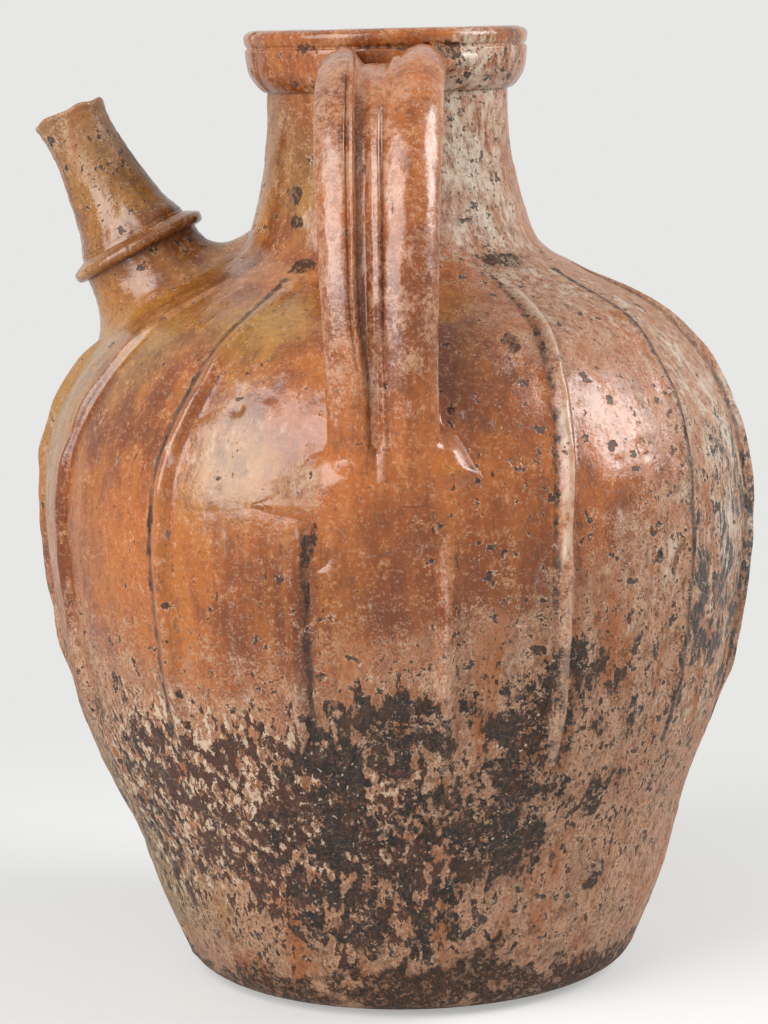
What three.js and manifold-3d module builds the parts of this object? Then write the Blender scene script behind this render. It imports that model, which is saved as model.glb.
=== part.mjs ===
// A glazed terracotta pitcher: a ribbed round body on a flat foot, a waisted neck under a rolled rim band,
// a slanting spout with a collar on one shoulder, and a strap handle of two rolls.
// Millimetres, +Z up, origin at the middle of the foot. The handle faces -Y and the spout leans out over -X.
// An azimuth is counted in degrees from the handle, positive towards +X.
import * as THREE from "three";
import { mergeVertices } from "three/addons/utils/BufferGeometryUtils.js";
import Module from "manifold-3d";

const wasm = await Module();
wasm.setup();

// Slip layer between two pieces of clay that are luted together
const LUTE = 0.3;

// Foot
const FOOT_RADIUS = 88;
const BASE_THICKNESS = 11;

// Wall of the body and neck: outer radius at each landmark, and the rise to it from the landmark below
const HEEL_RADIUS = 104;
const FLANK_RADIUS = 125;
const FLANK_RISE = 62;
const SEAM_RADIUS = 146;
const SEAM_RISE = 58;
const BELLY_RADIUS = 156.6;
const BELLY_RISE = 74;
const SHOULDER_RADIUS = 149;
const SHOULDER_RISE = 49;
const CROWN_RADIUS = 122;
const CROWN_RISE = 38;
const NECK_ROOT_RADIUS = 83;
const NECK_ROOT_RISE = 22;
const THROAT_RADIUS = 62;
const THROAT_RISE = 20;
const NECK_RADIUS = 54.5;
const NECK_RISE = 31;
const WAIST_RISE = 28;
const WALL = 8;
const NECK_JOINT_RISE = 8;

// Rim band rolled over the neck's edge
const RIM_RADIUS = 62.3;
const RIM_THICKNESS = 9;
const RIM_HEIGHT = 26.7;
const RIM_UNDERCUT_HEIGHT = 9;
const LIP_THICKNESS = 6;
const BEAD_HEIGHT = 8;
const BEAD_GROOVE_DEPTH = 1.2;
const LAP_AZIMUTH = -67;
const LAP_SLANT = 50;
const LAP_GAP = 0.6;

// Spout: its axis leaves the shoulder at the seat
const SPOUT_AZIMUTH = -95;
const SPOUT_LEAN = 26.4;
const SPOUT_SEAT_RISE = 12.4;
const SPOUT_BORE_RADIUS = 10.5;
const SPOUT_FOOT_RADIUS = 36;
const SPOUT_ROOT_RADIUS = 27;
const SPOUT_ROOT_LENGTH = 22.6;
const SPOUT_FLARE_DROP = 4;
const COLLAR_RADIUS = 31.4;
const COLLAR_THICKNESS = 6;
const TUBE_LENGTH = 60.3;
const TUBE_FOOT_RADIUS = 25.5;
const TUBE_FLARE = 6.7;
const TUBE_WAIST_RADIUS = 15.2;
const TUBE_WAIST_DROP = 12;
const TUBE_TIP_RADIUS = 16.4;

// Handle: two rolls and the web between them, bent from the rim band down to the belly
const HANDLE_TOP_WIDTH = 54;
const HANDLE_FOOT_WIDTH = 44;
const LEFT_ROLL_WIDTH = 18;
const RIGHT_ROLL_WIDTH = 21;
const ROLL_THICKNESS = 16;
const WEB_THICKNESS = 7;
const WEB_RIDGE_WIDTH = 8;
const WEB_RIDGE_HEIGHT = 2;
const HANDLE_DROP = 17;
const HANDLE_REACH = 75;
const HANDLE_ARCH = 8;
const HANDLE_LANDING = 110;
const HANDLE_FOOT_RISE = 27;
const HANDLE_SINK = 5;
const WEB_END_RISE = 32;

// Clay pressed out round the handle's ends
const PAD_DROP = 12;
const PAD_HALF_WIDTH = 13;
const PAD_HEIGHT = 5;
const FOOT_WING_HEIGHT = 8;
const FOOT_WING_HALF_WIDTH = 13;
const LEFT_WING_REACH = 31;
const LEFT_WING_ROOT_RISE = 18;
const LEFT_WING_DROP = 19;
const RIGHT_WING_REACH = 18;
const RIGHT_WING_ROOT_RISE = 26;
const RIGHT_WING_DROP = 12;
const TOP_WING_REACH = 12;
const TOP_WING_HEIGHT = 5;
const TOP_WING_HALF_WIDTH = 6;

// Ribs: upright strips of clay on the body, set by eye
const RIB_AZIMUTHS = [-90, -65, -37, -14.2, 8.4, 27.2, 52.4, 78.6, 105, 131, 157, 183, 208, 232];
const RIB_WIDTH = 8;
const RIB_HEIGHT = 2.8;
const RIB_FADE = 34;
const RIB_END_SHARE = 0.35;
const RIB_TWIST = 10;
const RIB_FOOT_DROP = 88;
const RIB_TOP_GAP = 6;

// Section of a strip of clay, in shares of its half width and its thickness
const STRIP_SECTION = [
  [-1, 0],
  [1, 0],
  [0.62, 0.75],
  [0, 1],
  [-0.62, 0.75],
];

// Fineness of the round surfaces
const WALL_SEGMENTS = 48;
const SPOUT_SEGMENTS = 24;
const ROLL_SIDES = 12;
const HANDLE_STEPS = 20;
const STEPS_PER_SPAN = 3;
const CURVE_STEPS = 4;
const LEVEL_STEP = 1;
const SLOPE_REACH = 2;

const GLAZE = { color: 0xa8562c, roughness: 0.28, metalness: 0 };
const WORN_GLAZE = { color: 0xb0694a, roughness: 0.5, metalness: 0 };
const BARE_CLAY = { color: 0x8a5a42, roughness: 0.8, metalness: 0 };

// Turns a closed geometry into a solid, without the triangles that a pole flattens to nothing.
function solidFrom(geometry) {
  const bare = geometry.clone();
  bare.deleteAttribute("normal");
  bare.deleteAttribute("uv");
  const merged = mergeVertices(bare, 1e-4);
  const triangles = [];
  for (let i = 0; i < merged.index.count; i += 3) {
    const [a, b, c] = [0, 1, 2].map((corner) => merged.index.getX(i + corner));
    if (a !== b && b !== c && c !== a) triangles.push(a, b, c);
  }
  return new wasm.Manifold(
    new wasm.Mesh({
      numProp: 3,
      vertProperties: merged.attributes.position.array,
      triVerts: new Uint32Array(triangles),
    }),
  );
}

// The main body of a solid, without the crumbs that a cut leaves beside it.
function mainBody(solid) {
  const bodies = solid.decompose();
  return bodies.reduce((best, body) => (body.volume() > best.volume() ? body : best));
}

// Turns a solid back into a named mesh.
function meshOf(name, solid, finish) {
  const { vertProperties, triVerts } = solid.getMesh();
  const geometry = new THREE.BufferGeometry();
  geometry.setAttribute("position", new THREE.BufferAttribute(vertProperties, 3));
  geometry.setIndex(new THREE.BufferAttribute(triVerts, 1));
  geometry.computeVertexNormals();
  const mesh = new THREE.Mesh(geometry, new THREE.MeshStandardMaterial(finish));
  mesh.name = name;
  return mesh;
}

// A solid of revolution about Z. The profile runs anticlockwise with the radius to the right and Z up.
function revolve(profile, segments) {
  return solidFrom(new THREE.LatheGeometry(profile, segments).rotateX(Math.PI / 2));
}

// A ring of revolution: the same, with the profile closed on itself.
function revolveRing(profile, segments) {
  return revolve([...profile, profile[0]], segments);
}

// A closed solid through rings of equal length, each anticlockwise about the direction of travel.
function loft(rings) {
  const count = rings[0].length;
  const points = rings.flat();
  const indices = [];
  for (let ring = 0; ring < rings.length - 1; ring += 1) {
    for (let k = 0; k < count; k += 1) {
      const a = ring * count + k;
      const b = ring * count + ((k + 1) % count);
      indices.push(a, b, a + count, b, b + count, a + count);
    }
  }
  const last = (rings.length - 1) * count;
  for (let k = 1; k < count - 1; k += 1) {
    indices.push(0, k + 1, k);
    indices.push(last, last + k, last + k + 1);
  }
  return solidFrom(new THREE.BufferGeometry().setFromPoints(points).setIndex(indices));
}

// The wall's outline, as a smooth curve of (radius, height) through the landmarks.
const heelHeight = BASE_THICKNESS;
const flankHeight = heelHeight + FLANK_RISE;
const seamHeight = flankHeight + SEAM_RISE;
const bellyHeight = seamHeight + BELLY_RISE;
const shoulderHeight = bellyHeight + SHOULDER_RISE;
const crownHeight = shoulderHeight + CROWN_RISE;
const neckRootHeight = crownHeight + NECK_ROOT_RISE;
const throatHeight = neckRootHeight + THROAT_RISE;
const neckHeight = throatHeight + NECK_RISE;
const waistHeight = neckHeight + WAIST_RISE;
const rimFootHeight = waistHeight + LUTE;
const rimTopHeight = rimFootHeight + RIM_HEIGHT;
const neckTopHeight = rimTopHeight - LIP_THICKNESS - LUTE;
const neckJointHeight = neckRootHeight + NECK_JOINT_RISE;

// The neck's waist is the seat that the rim band is rolled onto.
const waistRadius = RIM_RADIUS - RIM_THICKNESS - LUTE;

const landmarks = [
  new THREE.Vector2(HEEL_RADIUS, heelHeight),
  new THREE.Vector2(FLANK_RADIUS, flankHeight),
  new THREE.Vector2(SEAM_RADIUS, seamHeight),
  new THREE.Vector2(BELLY_RADIUS, bellyHeight),
  new THREE.Vector2(SHOULDER_RADIUS, shoulderHeight),
  new THREE.Vector2(CROWN_RADIUS, crownHeight),
  new THREE.Vector2(NECK_ROOT_RADIUS, neckRootHeight),
  new THREE.Vector2(THROAT_RADIUS, throatHeight),
  new THREE.Vector2(NECK_RADIUS, neckHeight),
  new THREE.Vector2(waistRadius, waistHeight),
];
const outline = [
  ...new THREE.SplineCurve(landmarks).getPoints((landmarks.length - 1) * STEPS_PER_SPAN),
  new THREE.Vector2(waistRadius, rimTopHeight),
];

// Outer radius of the wall at a height.
function radiusAt(height) {
  const above = outline.findIndex((point, i) => i > 0 && point.y >= height);
  const [low, high] = [outline[above - 1], outline[above]];
  return THREE.MathUtils.mapLinear(height, low.y, high.y, low.x, high.x);
}

// How fast the outer radius grows with height, over a short stretch round that height.
function slopeAt(height) {
  const low = Math.max(height - SLOPE_REACH, heelHeight);
  const high = Math.min(height + SLOPE_REACH, rimTopHeight);
  return (radiusAt(high) - radiusAt(low)) / (high - low);
}

// Inner radius, with the wall's thickness measured square to its slope.
function innerRadiusAt(height) {
  return radiusAt(height) - WALL * Math.hypot(1, slopeAt(height));
}

// The outline's own levels between two heights, with both ends.
function levelsBetween(low, high) {
  const levels = outline.map((point) => point.y);
  const inside = levels.filter((level) => level > low + LEVEL_STEP && level < high - LEVEL_STEP);
  return [low, ...inside, high];
}

// A point of the wall's outer face and its outward normal.
function wallFace(azimuth, height) {
  const angle = THREE.MathUtils.degToRad(azimuth);
  const radius = radiusAt(height);
  const slope = slopeAt(height);
  const point = new THREE.Vector3(radius * Math.sin(angle), -radius * Math.cos(angle), height);
  const normal = new THREE.Vector3(Math.sin(angle), -Math.cos(angle), -slope).normalize();
  return { point, normal };
}

// A point of the rim band's outer face and its outward normal.
function rimFace(azimuth, height) {
  const angle = THREE.MathUtils.degToRad(azimuth);
  const normal = new THREE.Vector3(Math.sin(angle), -Math.cos(angle), 0);
  const point = normal.clone().multiplyScalar(RIM_RADIUS).setZ(height);
  return { point, normal };
}

// A strip of clay laid on a face. Each station has an azimuth, a height, a half width and a thickness.
function strip(face, stations) {
  const seats = stations.map((station) => face(station.azimuth, station.height));
  const rings = stations.map(({ halfWidth, thickness }, i) => {
    const { point, normal } = seats[i];
    const before = seats[Math.max(i - 1, 0)].point;
    const after = seats[Math.min(i + 1, seats.length - 1)].point;
    const travel = after.clone().sub(before).projectOnPlane(normal).normalize();
    const across = normal.clone().cross(travel);
    return STRIP_SECTION.map(([u, v]) =>
      point
        .clone()
        .addScaledVector(across, u * halfWidth)
        .addScaledVector(normal, LUTE + v * thickness),
    );
  });
  return loft(rings);
}

// Everything inside the wall's or the rim band's outer face, grown by the slip layer.
function vesselEnvelope() {
  const wall = levelsBetween(heelHeight, rimTopHeight).map((level) => {
    const slope = slopeAt(level);
    const growth = LUTE / Math.hypot(1, slope);
    return new THREE.Vector2(radiusAt(level) + growth, level - growth * slope);
  });
  const wallProfile = [new THREE.Vector2(0, wall[0].y), ...wall, new THREE.Vector2(0, wall.at(-1).y)];
  const rimProfile = [
    new THREE.Vector2(0, rimFootHeight - LUTE),
    new THREE.Vector2(RIM_RADIUS + LUTE, rimFootHeight - LUTE),
    new THREE.Vector2(RIM_RADIUS + LUTE, rimTopHeight + LUTE),
    new THREE.Vector2(0, rimTopHeight + LUTE),
  ];
  return revolve(wallProfile, WALL_SEGMENTS).add(revolve(rimProfile, WALL_SEGMENTS));
}

// Base slab with a softly rounded edge.
function baseSlab() {
  const profile = new THREE.Path();
  profile.moveTo(0, 0);
  profile.lineTo(FOOT_RADIUS, 0);
  profile.quadraticCurveTo(HEEL_RADIUS, 0, HEEL_RADIUS, BASE_THICKNESS - LUTE);
  profile.lineTo(0, BASE_THICKNESS - LUTE);
  return revolve(profile.getPoints(CURVE_STEPS), WALL_SEGMENTS);
}

// A ring of the wall between two heights.
function wallRing(low, high) {
  const levels = levelsBetween(low, high);
  const outer = levels.map((level) => new THREE.Vector2(radiusAt(level), level));
  const inner = levels.map((level) => new THREE.Vector2(innerRadiusAt(level), level)).reverse();
  return revolveRing([...outer, ...inner], WALL_SEGMENTS);
}

// Rim band: it sits on the neck's edge, hangs down outside it, and its two ends meet in a slanting lap.
function rimBand() {
  const mouthRadius = waistRadius - WALL;
  const skirtRadius = waistRadius + LUTE;
  const beadFoot = rimTopHeight - BEAD_HEIGHT;
  const lipMiddle = (mouthRadius + RIM_RADIUS) / 2;
  const underside = rimFootHeight + RIM_UNDERCUT_HEIGHT;
  const seat = neckTopHeight + LUTE;
  const profile = new THREE.Path();
  profile.moveTo(skirtRadius, rimFootHeight);
  profile.quadraticCurveTo(RIM_RADIUS, rimFootHeight + RIM_UNDERCUT_HEIGHT / 2, RIM_RADIUS, underside);
  profile.lineTo(RIM_RADIUS, beadFoot - BEAD_GROOVE_DEPTH);
  profile.lineTo(RIM_RADIUS - BEAD_GROOVE_DEPTH, beadFoot);
  profile.quadraticCurveTo(RIM_RADIUS, beadFoot, RIM_RADIUS, (beadFoot + rimTopHeight) / 2);
  profile.quadraticCurveTo(RIM_RADIUS, rimTopHeight, lipMiddle, rimTopHeight);
  profile.quadraticCurveTo(mouthRadius, rimTopHeight, mouthRadius, seat);
  profile.lineTo(skirtRadius, seat);
  const band = revolveRing(profile.getPoints(CURVE_STEPS), WALL_SEGMENTS);
  const lapLength = 4 * (RIM_RADIUS - mouthRadius);
  const lap = new THREE.BoxGeometry(lapLength, LAP_GAP, 2 * RIM_HEIGHT);
  lap.rotateZ(THREE.MathUtils.degToRad(LAP_AZIMUTH + LAP_SLANT - 90));
  lap.translate(...rimFace(LAP_AZIMUTH, rimTopHeight).point);
  return band.subtract(solidFrom(lap));
}

// The spout's own frame: its Z runs from the seat on the shoulder out along the bore.
const spoutSeatHeight = crownHeight + SPOUT_SEAT_RISE;
const spoutSeat = wallFace(SPOUT_AZIMUTH, spoutSeatHeight).point;
const spoutPlace = new THREE.Matrix4()
  .makeTranslation(spoutSeat)
  .multiply(new THREE.Matrix4().makeRotationZ(THREE.MathUtils.degToRad(SPOUT_AZIMUTH - 90)))
  .multiply(new THREE.Matrix4().makeRotationY(THREE.MathUtils.degToRad(SPOUT_LEAN)));

// Puts a solid made about Z onto the spout's axis.
function onSpoutAxis(solid) {
  return solid.transform(spoutPlace.toArray());
}

// A ring about the spout's bore from an outer profile that runs upwards.
function spoutRing(outer) {
  const bore = [
    new THREE.Vector2(SPOUT_BORE_RADIUS, outer.at(-1).y),
    new THREE.Vector2(SPOUT_BORE_RADIUS, outer[0].y),
  ];
  return onSpoutAxis(revolveRing([...outer, ...bore], SPOUT_SEGMENTS));
}

const spoutDepth = 3 * WALL;
const collarFoot = SPOUT_ROOT_LENGTH + LUTE;
const tubeFoot = collarFoot + COLLAR_THICKNESS + LUTE;
const spoutTip = tubeFoot + TUBE_LENGTH;

// Root: a short socket that flares onto the shoulder.
function spoutRoot(envelope) {
  const outer = new THREE.Path();
  outer.moveTo(SPOUT_FOOT_RADIUS, -spoutDepth);
  outer.lineTo(SPOUT_FOOT_RADIUS, -SPOUT_FLARE_DROP);
  outer.quadraticCurveTo(SPOUT_ROOT_RADIUS, 0, SPOUT_ROOT_RADIUS, SPOUT_ROOT_LENGTH / 2);
  outer.lineTo(SPOUT_ROOT_RADIUS, SPOUT_ROOT_LENGTH);
  return spoutRing(outer.getPoints(CURVE_STEPS)).subtract(envelope);
}

// Collar: a thin flange, undercut below, that runs up into the tube.
function spoutCollar() {
  const top = collarFoot + COLLAR_THICKNESS;
  const crest = collarFoot + COLLAR_THICKNESS / 3;
  const outer = new THREE.Path();
  outer.moveTo(SPOUT_ROOT_RADIUS, collarFoot);
  outer.lineTo(COLLAR_RADIUS - LUTE, collarFoot);
  outer.lineTo(COLLAR_RADIUS, crest);
  outer.quadraticCurveTo(TUBE_FOOT_RADIUS + LUTE, crest, TUBE_FOOT_RADIUS, top);
  return spoutRing(outer.getPoints(CURVE_STEPS));
}

// Tube: widest at its foot, narrowest just under a slightly flared lip.
function spoutTube() {
  const waist = spoutTip - TUBE_WAIST_DROP;
  const flareTop = tubeFoot + TUBE_LENGTH / 4;
  const outer = new THREE.Path();
  outer.moveTo(TUBE_FOOT_RADIUS, tubeFoot);
  outer.quadraticCurveTo(TUBE_FOOT_RADIUS - TUBE_FLARE, flareTop, TUBE_WAIST_RADIUS, waist);
  outer.quadraticCurveTo(TUBE_WAIST_RADIUS, spoutTip - TUBE_WAIST_DROP / 2, TUBE_TIP_RADIUS, spoutTip);
  return spoutRing(outer.getPoints(CURVE_STEPS));
}

// The passage from the body into the spout.
function spoutPassage() {
  const profile = [
    new THREE.Vector2(0, -spoutDepth),
    new THREE.Vector2(SPOUT_BORE_RADIUS, -spoutDepth),
    new THREE.Vector2(SPOUT_BORE_RADIUS, spoutDepth),
    new THREE.Vector2(0, spoutDepth),
  ];
  return onSpoutAxis(revolve(profile, SPOUT_SEGMENTS));
}

// The handle's middle line in the plane of the axis: out from the rim band, over, and down onto the belly.
const handleFootHeight = bellyHeight + HANDLE_FOOT_RISE;
const handleTopHeight = rimTopHeight - HANDLE_DROP;
const handleFootRadius = radiusAt(handleFootHeight) - HANDLE_SINK;
const handleLine = new THREE.CubicBezierCurve(
  new THREE.Vector2(RIM_RADIUS - HANDLE_SINK, handleTopHeight),
  new THREE.Vector2(RIM_RADIUS + HANDLE_REACH, handleTopHeight + HANDLE_ARCH),
  new THREE.Vector2(handleFootRadius + HANDLE_SINK, handleFootHeight + HANDLE_LANDING),
  new THREE.Vector2(handleFootRadius, handleFootHeight),
);

// Width of the whole handle at a share of its length.
function handleWidthAt(share) {
  return THREE.MathUtils.lerp(HANDLE_TOP_WIDTH, HANDLE_FOOT_WIDTH, share);
}

// A bar bent along the handle's line, up to a share of its length. The section gives (x, out) pairs.
function handleBar(sectionAt, endShare) {
  const shares = Array.from({ length: HANDLE_STEPS + 1 }, (_, i) => (endShare * i) / HANDLE_STEPS);
  const rings = shares.map((share) => {
    const centre = handleLine.getPoint(share);
    const travel = handleLine.getTangent(share);
    const out = new THREE.Vector2(-travel.y, travel.x);
    return sectionAt(share).map(([x, height]) => {
      const place = centre.clone().addScaledVector(out, height);
      return new THREE.Vector3(x, -place.x, place.y);
    });
  });
  return loft(rings);
}

// One roll: an oval bar along one edge of the handle. The side is -1 on the left and 1 on the right.
function handleRoll(side, width, growth) {
  return handleBar((share) => {
    const middle = (side * (handleWidthAt(share) - width)) / 2;
    return Array.from({ length: ROLL_SIDES }, (_, k) => {
      const angle = ((k + 0.5) * 2 * Math.PI) / ROLL_SIDES;
      const x = middle + (width / 2 + growth) * Math.cos(angle);
      const height = (ROLL_THICKNESS / 2 + growth) * Math.sin(angle);
      return [x, height];
    });
  }, 1);
}

// Share of the handle's line at which it has come down to a height.
function handleShareAt(height) {
  const steps = 400;
  const shares = Array.from({ length: steps + 1 }, (_, i) => i / steps);
  return shares.findLast((share) => handleLine.getPoint(share).y >= height);
}

const webEndHeight = bellyHeight + WEB_END_RISE + HANDLE_FOOT_RISE;
const webEndShare = handleShareAt(webEndHeight);

// The web between the rolls, with a low ridge down its middle.
function handleWeb(growth, endShare) {
  const front = WEB_THICKNESS / 2 + growth;
  const ridge = WEB_RIDGE_WIDTH / 2 + growth;
  return handleBar((share) => {
    const left = LEFT_ROLL_WIDTH / 2 - handleWidthAt(share) / 2;
    const right = handleWidthAt(share) / 2 - RIGHT_ROLL_WIDTH / 2;
    const middle = (left + LEFT_ROLL_WIDTH / 2 + right - RIGHT_ROLL_WIDTH / 2) / 2;
    return [
      [left, -front],
      [right, -front],
      [right, front],
      [middle + ridge, front],
      [middle, front + WEB_RIDGE_HEIGHT],
      [middle - ridge, front],
      [left, front],
    ];
  }, endShare);
}

// Azimuth at which a strip of the wall lies a given way to the side of the handle's middle.
function azimuthAcross(side, height) {
  return THREE.MathUtils.radToDeg(Math.asin(side / radiusAt(height)));
}

// Stations of a smear of clay from a start to an end, each (azimuth, height), thinning out on the way.
function smear(start, end, halfWidth, thickness) {
  const steps = 6;
  return Array.from({ length: steps + 1 }, (_, i) => {
    const share = i / steps;
    const left = 1 - share * (1 - RIB_END_SHARE);
    return {
      azimuth: THREE.MathUtils.lerp(start.azimuth, end.azimuth, share),
      height: THREE.MathUtils.lerp(start.height, end.height, share),
      halfWidth: halfWidth * left,
      thickness: thickness * left,
    };
  });
}

const footEdge = HANDLE_FOOT_WIDTH / 2;
const padFootHeight = handleFootHeight - PAD_DROP;

// The pad between and under the rolls where the handle lands.
function footPad() {
  const start = { azimuth: 0, height: webEndHeight - LUTE };
  const end = { azimuth: 0, height: padFootHeight };
  return strip(wallFace, smear(start, end, PAD_HALF_WIDTH, PAD_HEIGHT));
}

// A wing beside the handle's foot. The side is -1 on the left and 1 on the right.
function footWing(side, reach, rootRise, drop) {
  const startHeight = handleFootHeight + rootRise;
  const endHeight = startHeight - drop;
  const start = { azimuth: azimuthAcross(side * (footEdge - HANDLE_SINK), startHeight), height: startHeight };
  const end = { azimuth: azimuthAcross(side * (footEdge + reach), endHeight), height: endHeight };
  return strip(wallFace, smear(start, end, FOOT_WING_HALF_WIDTH, FOOT_WING_HEIGHT));
}

// The wing from the right roll along the rim band.
function topWing() {
  const edge = HANDLE_TOP_WIDTH / 2;
  const height = handleTopHeight + ROLL_THICKNESS / 4;
  const azimuthAt = (side) => THREE.MathUtils.radToDeg(Math.asin(side / RIM_RADIUS));
  const start = { azimuth: azimuthAt(edge - RIGHT_ROLL_WIDTH / 4), height };
  const end = { azimuth: azimuthAt(edge + TOP_WING_REACH), height };
  return strip(rimFace, smear(start, end, TOP_WING_HALF_WIDTH, TOP_WING_HEIGHT));
}

// Azimuth of a rib at a height: upright on the belly, and leaning over a little towards the neck.
function ribAzimuth(azimuth, height) {
  const share = Math.max(0, (height - bellyHeight) / (neckJointHeight - bellyHeight));
  return azimuth + RIB_TWIST * share * share;
}

// Whether a rib stands under the handle's foot or one of its wings.
function underHandle(azimuth) {
  const { point } = wallFace(azimuth, handleFootHeight);
  const leftEdge = -footEdge - LEFT_WING_REACH - RIB_WIDTH;
  const rightEdge = footEdge + RIGHT_WING_REACH + RIB_WIDTH;
  return point.y < 0 && point.x > leftEdge && point.x < rightEdge;
}

// Highest level that a rib may reach under the handle's foot.
const leftWingTip = LEFT_WING_ROOT_RISE - LEFT_WING_DROP;
const rightWingTip = RIGHT_WING_ROOT_RISE - RIGHT_WING_DROP;
const wingRootFoot = Math.min(LEFT_WING_ROOT_RISE, RIGHT_WING_ROOT_RISE) - FOOT_WING_HALF_WIDTH;
const wingTipFoot = Math.min(leftWingTip, rightWingTip) - FOOT_WING_HALF_WIDTH * RIB_END_SHARE;
const underHandleHeight = handleFootHeight + Math.min(0, wingRootFoot, wingTipFoot) - RIB_TOP_GAP;

// Whether a rib has room at a height, beside the spout's root and below the handle's foot.
function ribHasRoom(azimuth, height) {
  const { point } = wallFace(ribAzimuth(azimuth, height), height);
  const clearOfSpout = point.distanceTo(spoutSeat) > SPOUT_FOOT_RADIUS + RIB_WIDTH;
  return clearOfSpout && (height < underHandleHeight || !underHandle(azimuth));
}

// A rib from the lower wall up to the neck's joint, or as far as it has room.
function rib(azimuth) {
  const low = bellyHeight - RIB_FOOT_DROP;
  const most = neckJointHeight - RIB_TOP_GAP;
  let high = low;
  while (high < most && ribHasRoom(azimuth, high + LEVEL_STEP)) high += LEVEL_STEP;
  const stations = levelsBetween(low, high).map((height) => {
    const nearestEnd = Math.min(height - low, high - height);
    const fullness = THREE.MathUtils.lerp(RIB_END_SHARE, 1, Math.min(1, nearestEnd / RIB_FADE));
    return {
      azimuth: ribAzimuth(azimuth, height),
      height,
      halfWidth: (RIB_WIDTH / 2) * fullness,
      thickness: RIB_HEIGHT * fullness,
    };
  });
  return strip(wallFace, stations);
}

const envelope = vesselEnvelope();
const upperBody = wallRing(seamHeight + LUTE, neckJointHeight).subtract(spoutPassage());
const leftRoll = handleRoll(-1, LEFT_ROLL_WIDTH, 0).subtract(envelope);
const rightRoll = handleRoll(1, RIGHT_ROLL_WIDTH, 0).subtract(envelope);
const rollRoom = handleRoll(-1, LEFT_ROLL_WIDTH, LUTE).add(handleRoll(1, RIGHT_ROLL_WIDTH, LUTE));
const web = handleWeb(0, webEndShare).subtract(envelope).subtract(rollRoom);
const smearRoom = envelope.add(rollRoom).add(handleWeb(LUTE, webEndShare));
const pad = footPad();
const leftWing = footWing(-1, LEFT_WING_REACH, LEFT_WING_ROOT_RISE, LEFT_WING_DROP);
const rightWing = footWing(1, RIGHT_WING_REACH, RIGHT_WING_ROOT_RISE, RIGHT_WING_DROP);

const pitcher = new THREE.Group();
pitcher.name = "pitcher";
pitcher.add(
  meshOf("base_slab", baseSlab(), BARE_CLAY),
  meshOf("lower_body", wallRing(heelHeight, seamHeight), WORN_GLAZE),
  meshOf("upper_body", upperBody, GLAZE),
  meshOf("neck", wallRing(neckJointHeight + LUTE, neckTopHeight), GLAZE),
  meshOf("rim_band", rimBand(), GLAZE),
);

const spout = new THREE.Group();
spout.name = "spout";
spout.add(
  meshOf("spout_root", spoutRoot(envelope), GLAZE),
  meshOf("spout_collar", spoutCollar(), GLAZE),
  meshOf("spout_tube", spoutTube(), GLAZE),
);
pitcher.add(spout);

const handle = new THREE.Group();
handle.name = "handle";
handle.add(
  meshOf("handle_left_roll", leftRoll, GLAZE),
  meshOf("handle_right_roll", rightRoll, GLAZE),
  meshOf("handle_web", web, GLAZE),
  meshOf("handle_top_wing", mainBody(topWing().subtract(smearRoom)), GLAZE),
  meshOf("handle_foot_pad", mainBody(pad.subtract(smearRoom)), GLAZE),
  meshOf("handle_foot_left_wing", mainBody(leftWing.subtract(smearRoom)), GLAZE),
  meshOf("handle_foot_right_wing", mainBody(rightWing.subtract(smearRoom)), GLAZE),
);
pitcher.add(handle);

const ribs = new THREE.Group();
ribs.name = "ribs";
RIB_AZIMUTHS.forEach((azimuth, i) => {
  const number = String(i + 1).padStart(2, "0");
  ribs.add(meshOf(`rib_${number}`, rib(azimuth), GLAZE));
});
pitcher.add(ribs);

export default pitcher;
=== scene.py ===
"""A glazed terracotta pitcher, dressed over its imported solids.

Metres, +Z up, origin in the middle of the foot. The handle faces -Y and the spout leans out over -X.
An azimuth is counted in degrees from the handle, positive towards +X.
"""

import logging
import math
import random
from bisect import bisect_left
from collections.abc import Callable, Mapping, Sequence
from dataclasses import dataclass, field
from enum import Enum

import bmesh
import bpy
import numpy as np
from mathutils import Matrix, Vector, kdtree, noise


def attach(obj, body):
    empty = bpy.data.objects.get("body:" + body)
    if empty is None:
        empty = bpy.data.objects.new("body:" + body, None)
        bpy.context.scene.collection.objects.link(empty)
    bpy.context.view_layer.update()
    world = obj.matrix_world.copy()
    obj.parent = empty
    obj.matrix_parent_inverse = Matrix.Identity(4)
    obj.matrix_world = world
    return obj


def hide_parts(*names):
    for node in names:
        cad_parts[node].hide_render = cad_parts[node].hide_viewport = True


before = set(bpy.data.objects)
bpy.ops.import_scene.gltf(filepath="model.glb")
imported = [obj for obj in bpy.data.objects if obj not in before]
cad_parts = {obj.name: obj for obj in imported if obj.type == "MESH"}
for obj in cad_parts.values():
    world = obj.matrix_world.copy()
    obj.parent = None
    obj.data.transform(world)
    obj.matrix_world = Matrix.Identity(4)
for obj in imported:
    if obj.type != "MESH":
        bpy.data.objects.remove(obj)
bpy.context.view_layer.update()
LOG = logging.getLogger("pitcher")

Pair = tuple[float, float]
Triple = tuple[float, float, float]
Colour = Triple
Shape = bmesh.types.BMesh
Layer = bmesh.types.BMLayerItem
Socket = bpy.types.NodeSocket
Surface = Callable[[float, float], Vector]
Along = Callable[[float], float]

MERGE = 1e-6
ROUND = 2 * math.pi


class Slot(Enum):
    """Material slots of the record."""

    GLAZE = "glaze"
    WORN_GLAZE = "worn_glaze"
    BARE_CLAY = "bare_clay"


class Wear(Enum):
    """Kinds of weathering, with painted shade and sheen in some of them, that a piece carries as point
    attributes.
    """

    THICK = "thick"
    DULL = "dull"
    ISLE = "isle"
    FLAKE = "flake"
    SCORCH = "scorch"
    OLIVE = "olive"
    SPECK = "speck"
    GRIME = "grime"
    RUB = "rub"
    BLOOM_AND_SHEEN = "bloom_and_sheen"
    SEAM = "seam"


class Side(Enum):
    """Side of the handle, as seen from the front."""

    LEFT = -1
    RIGHT = 1


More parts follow.
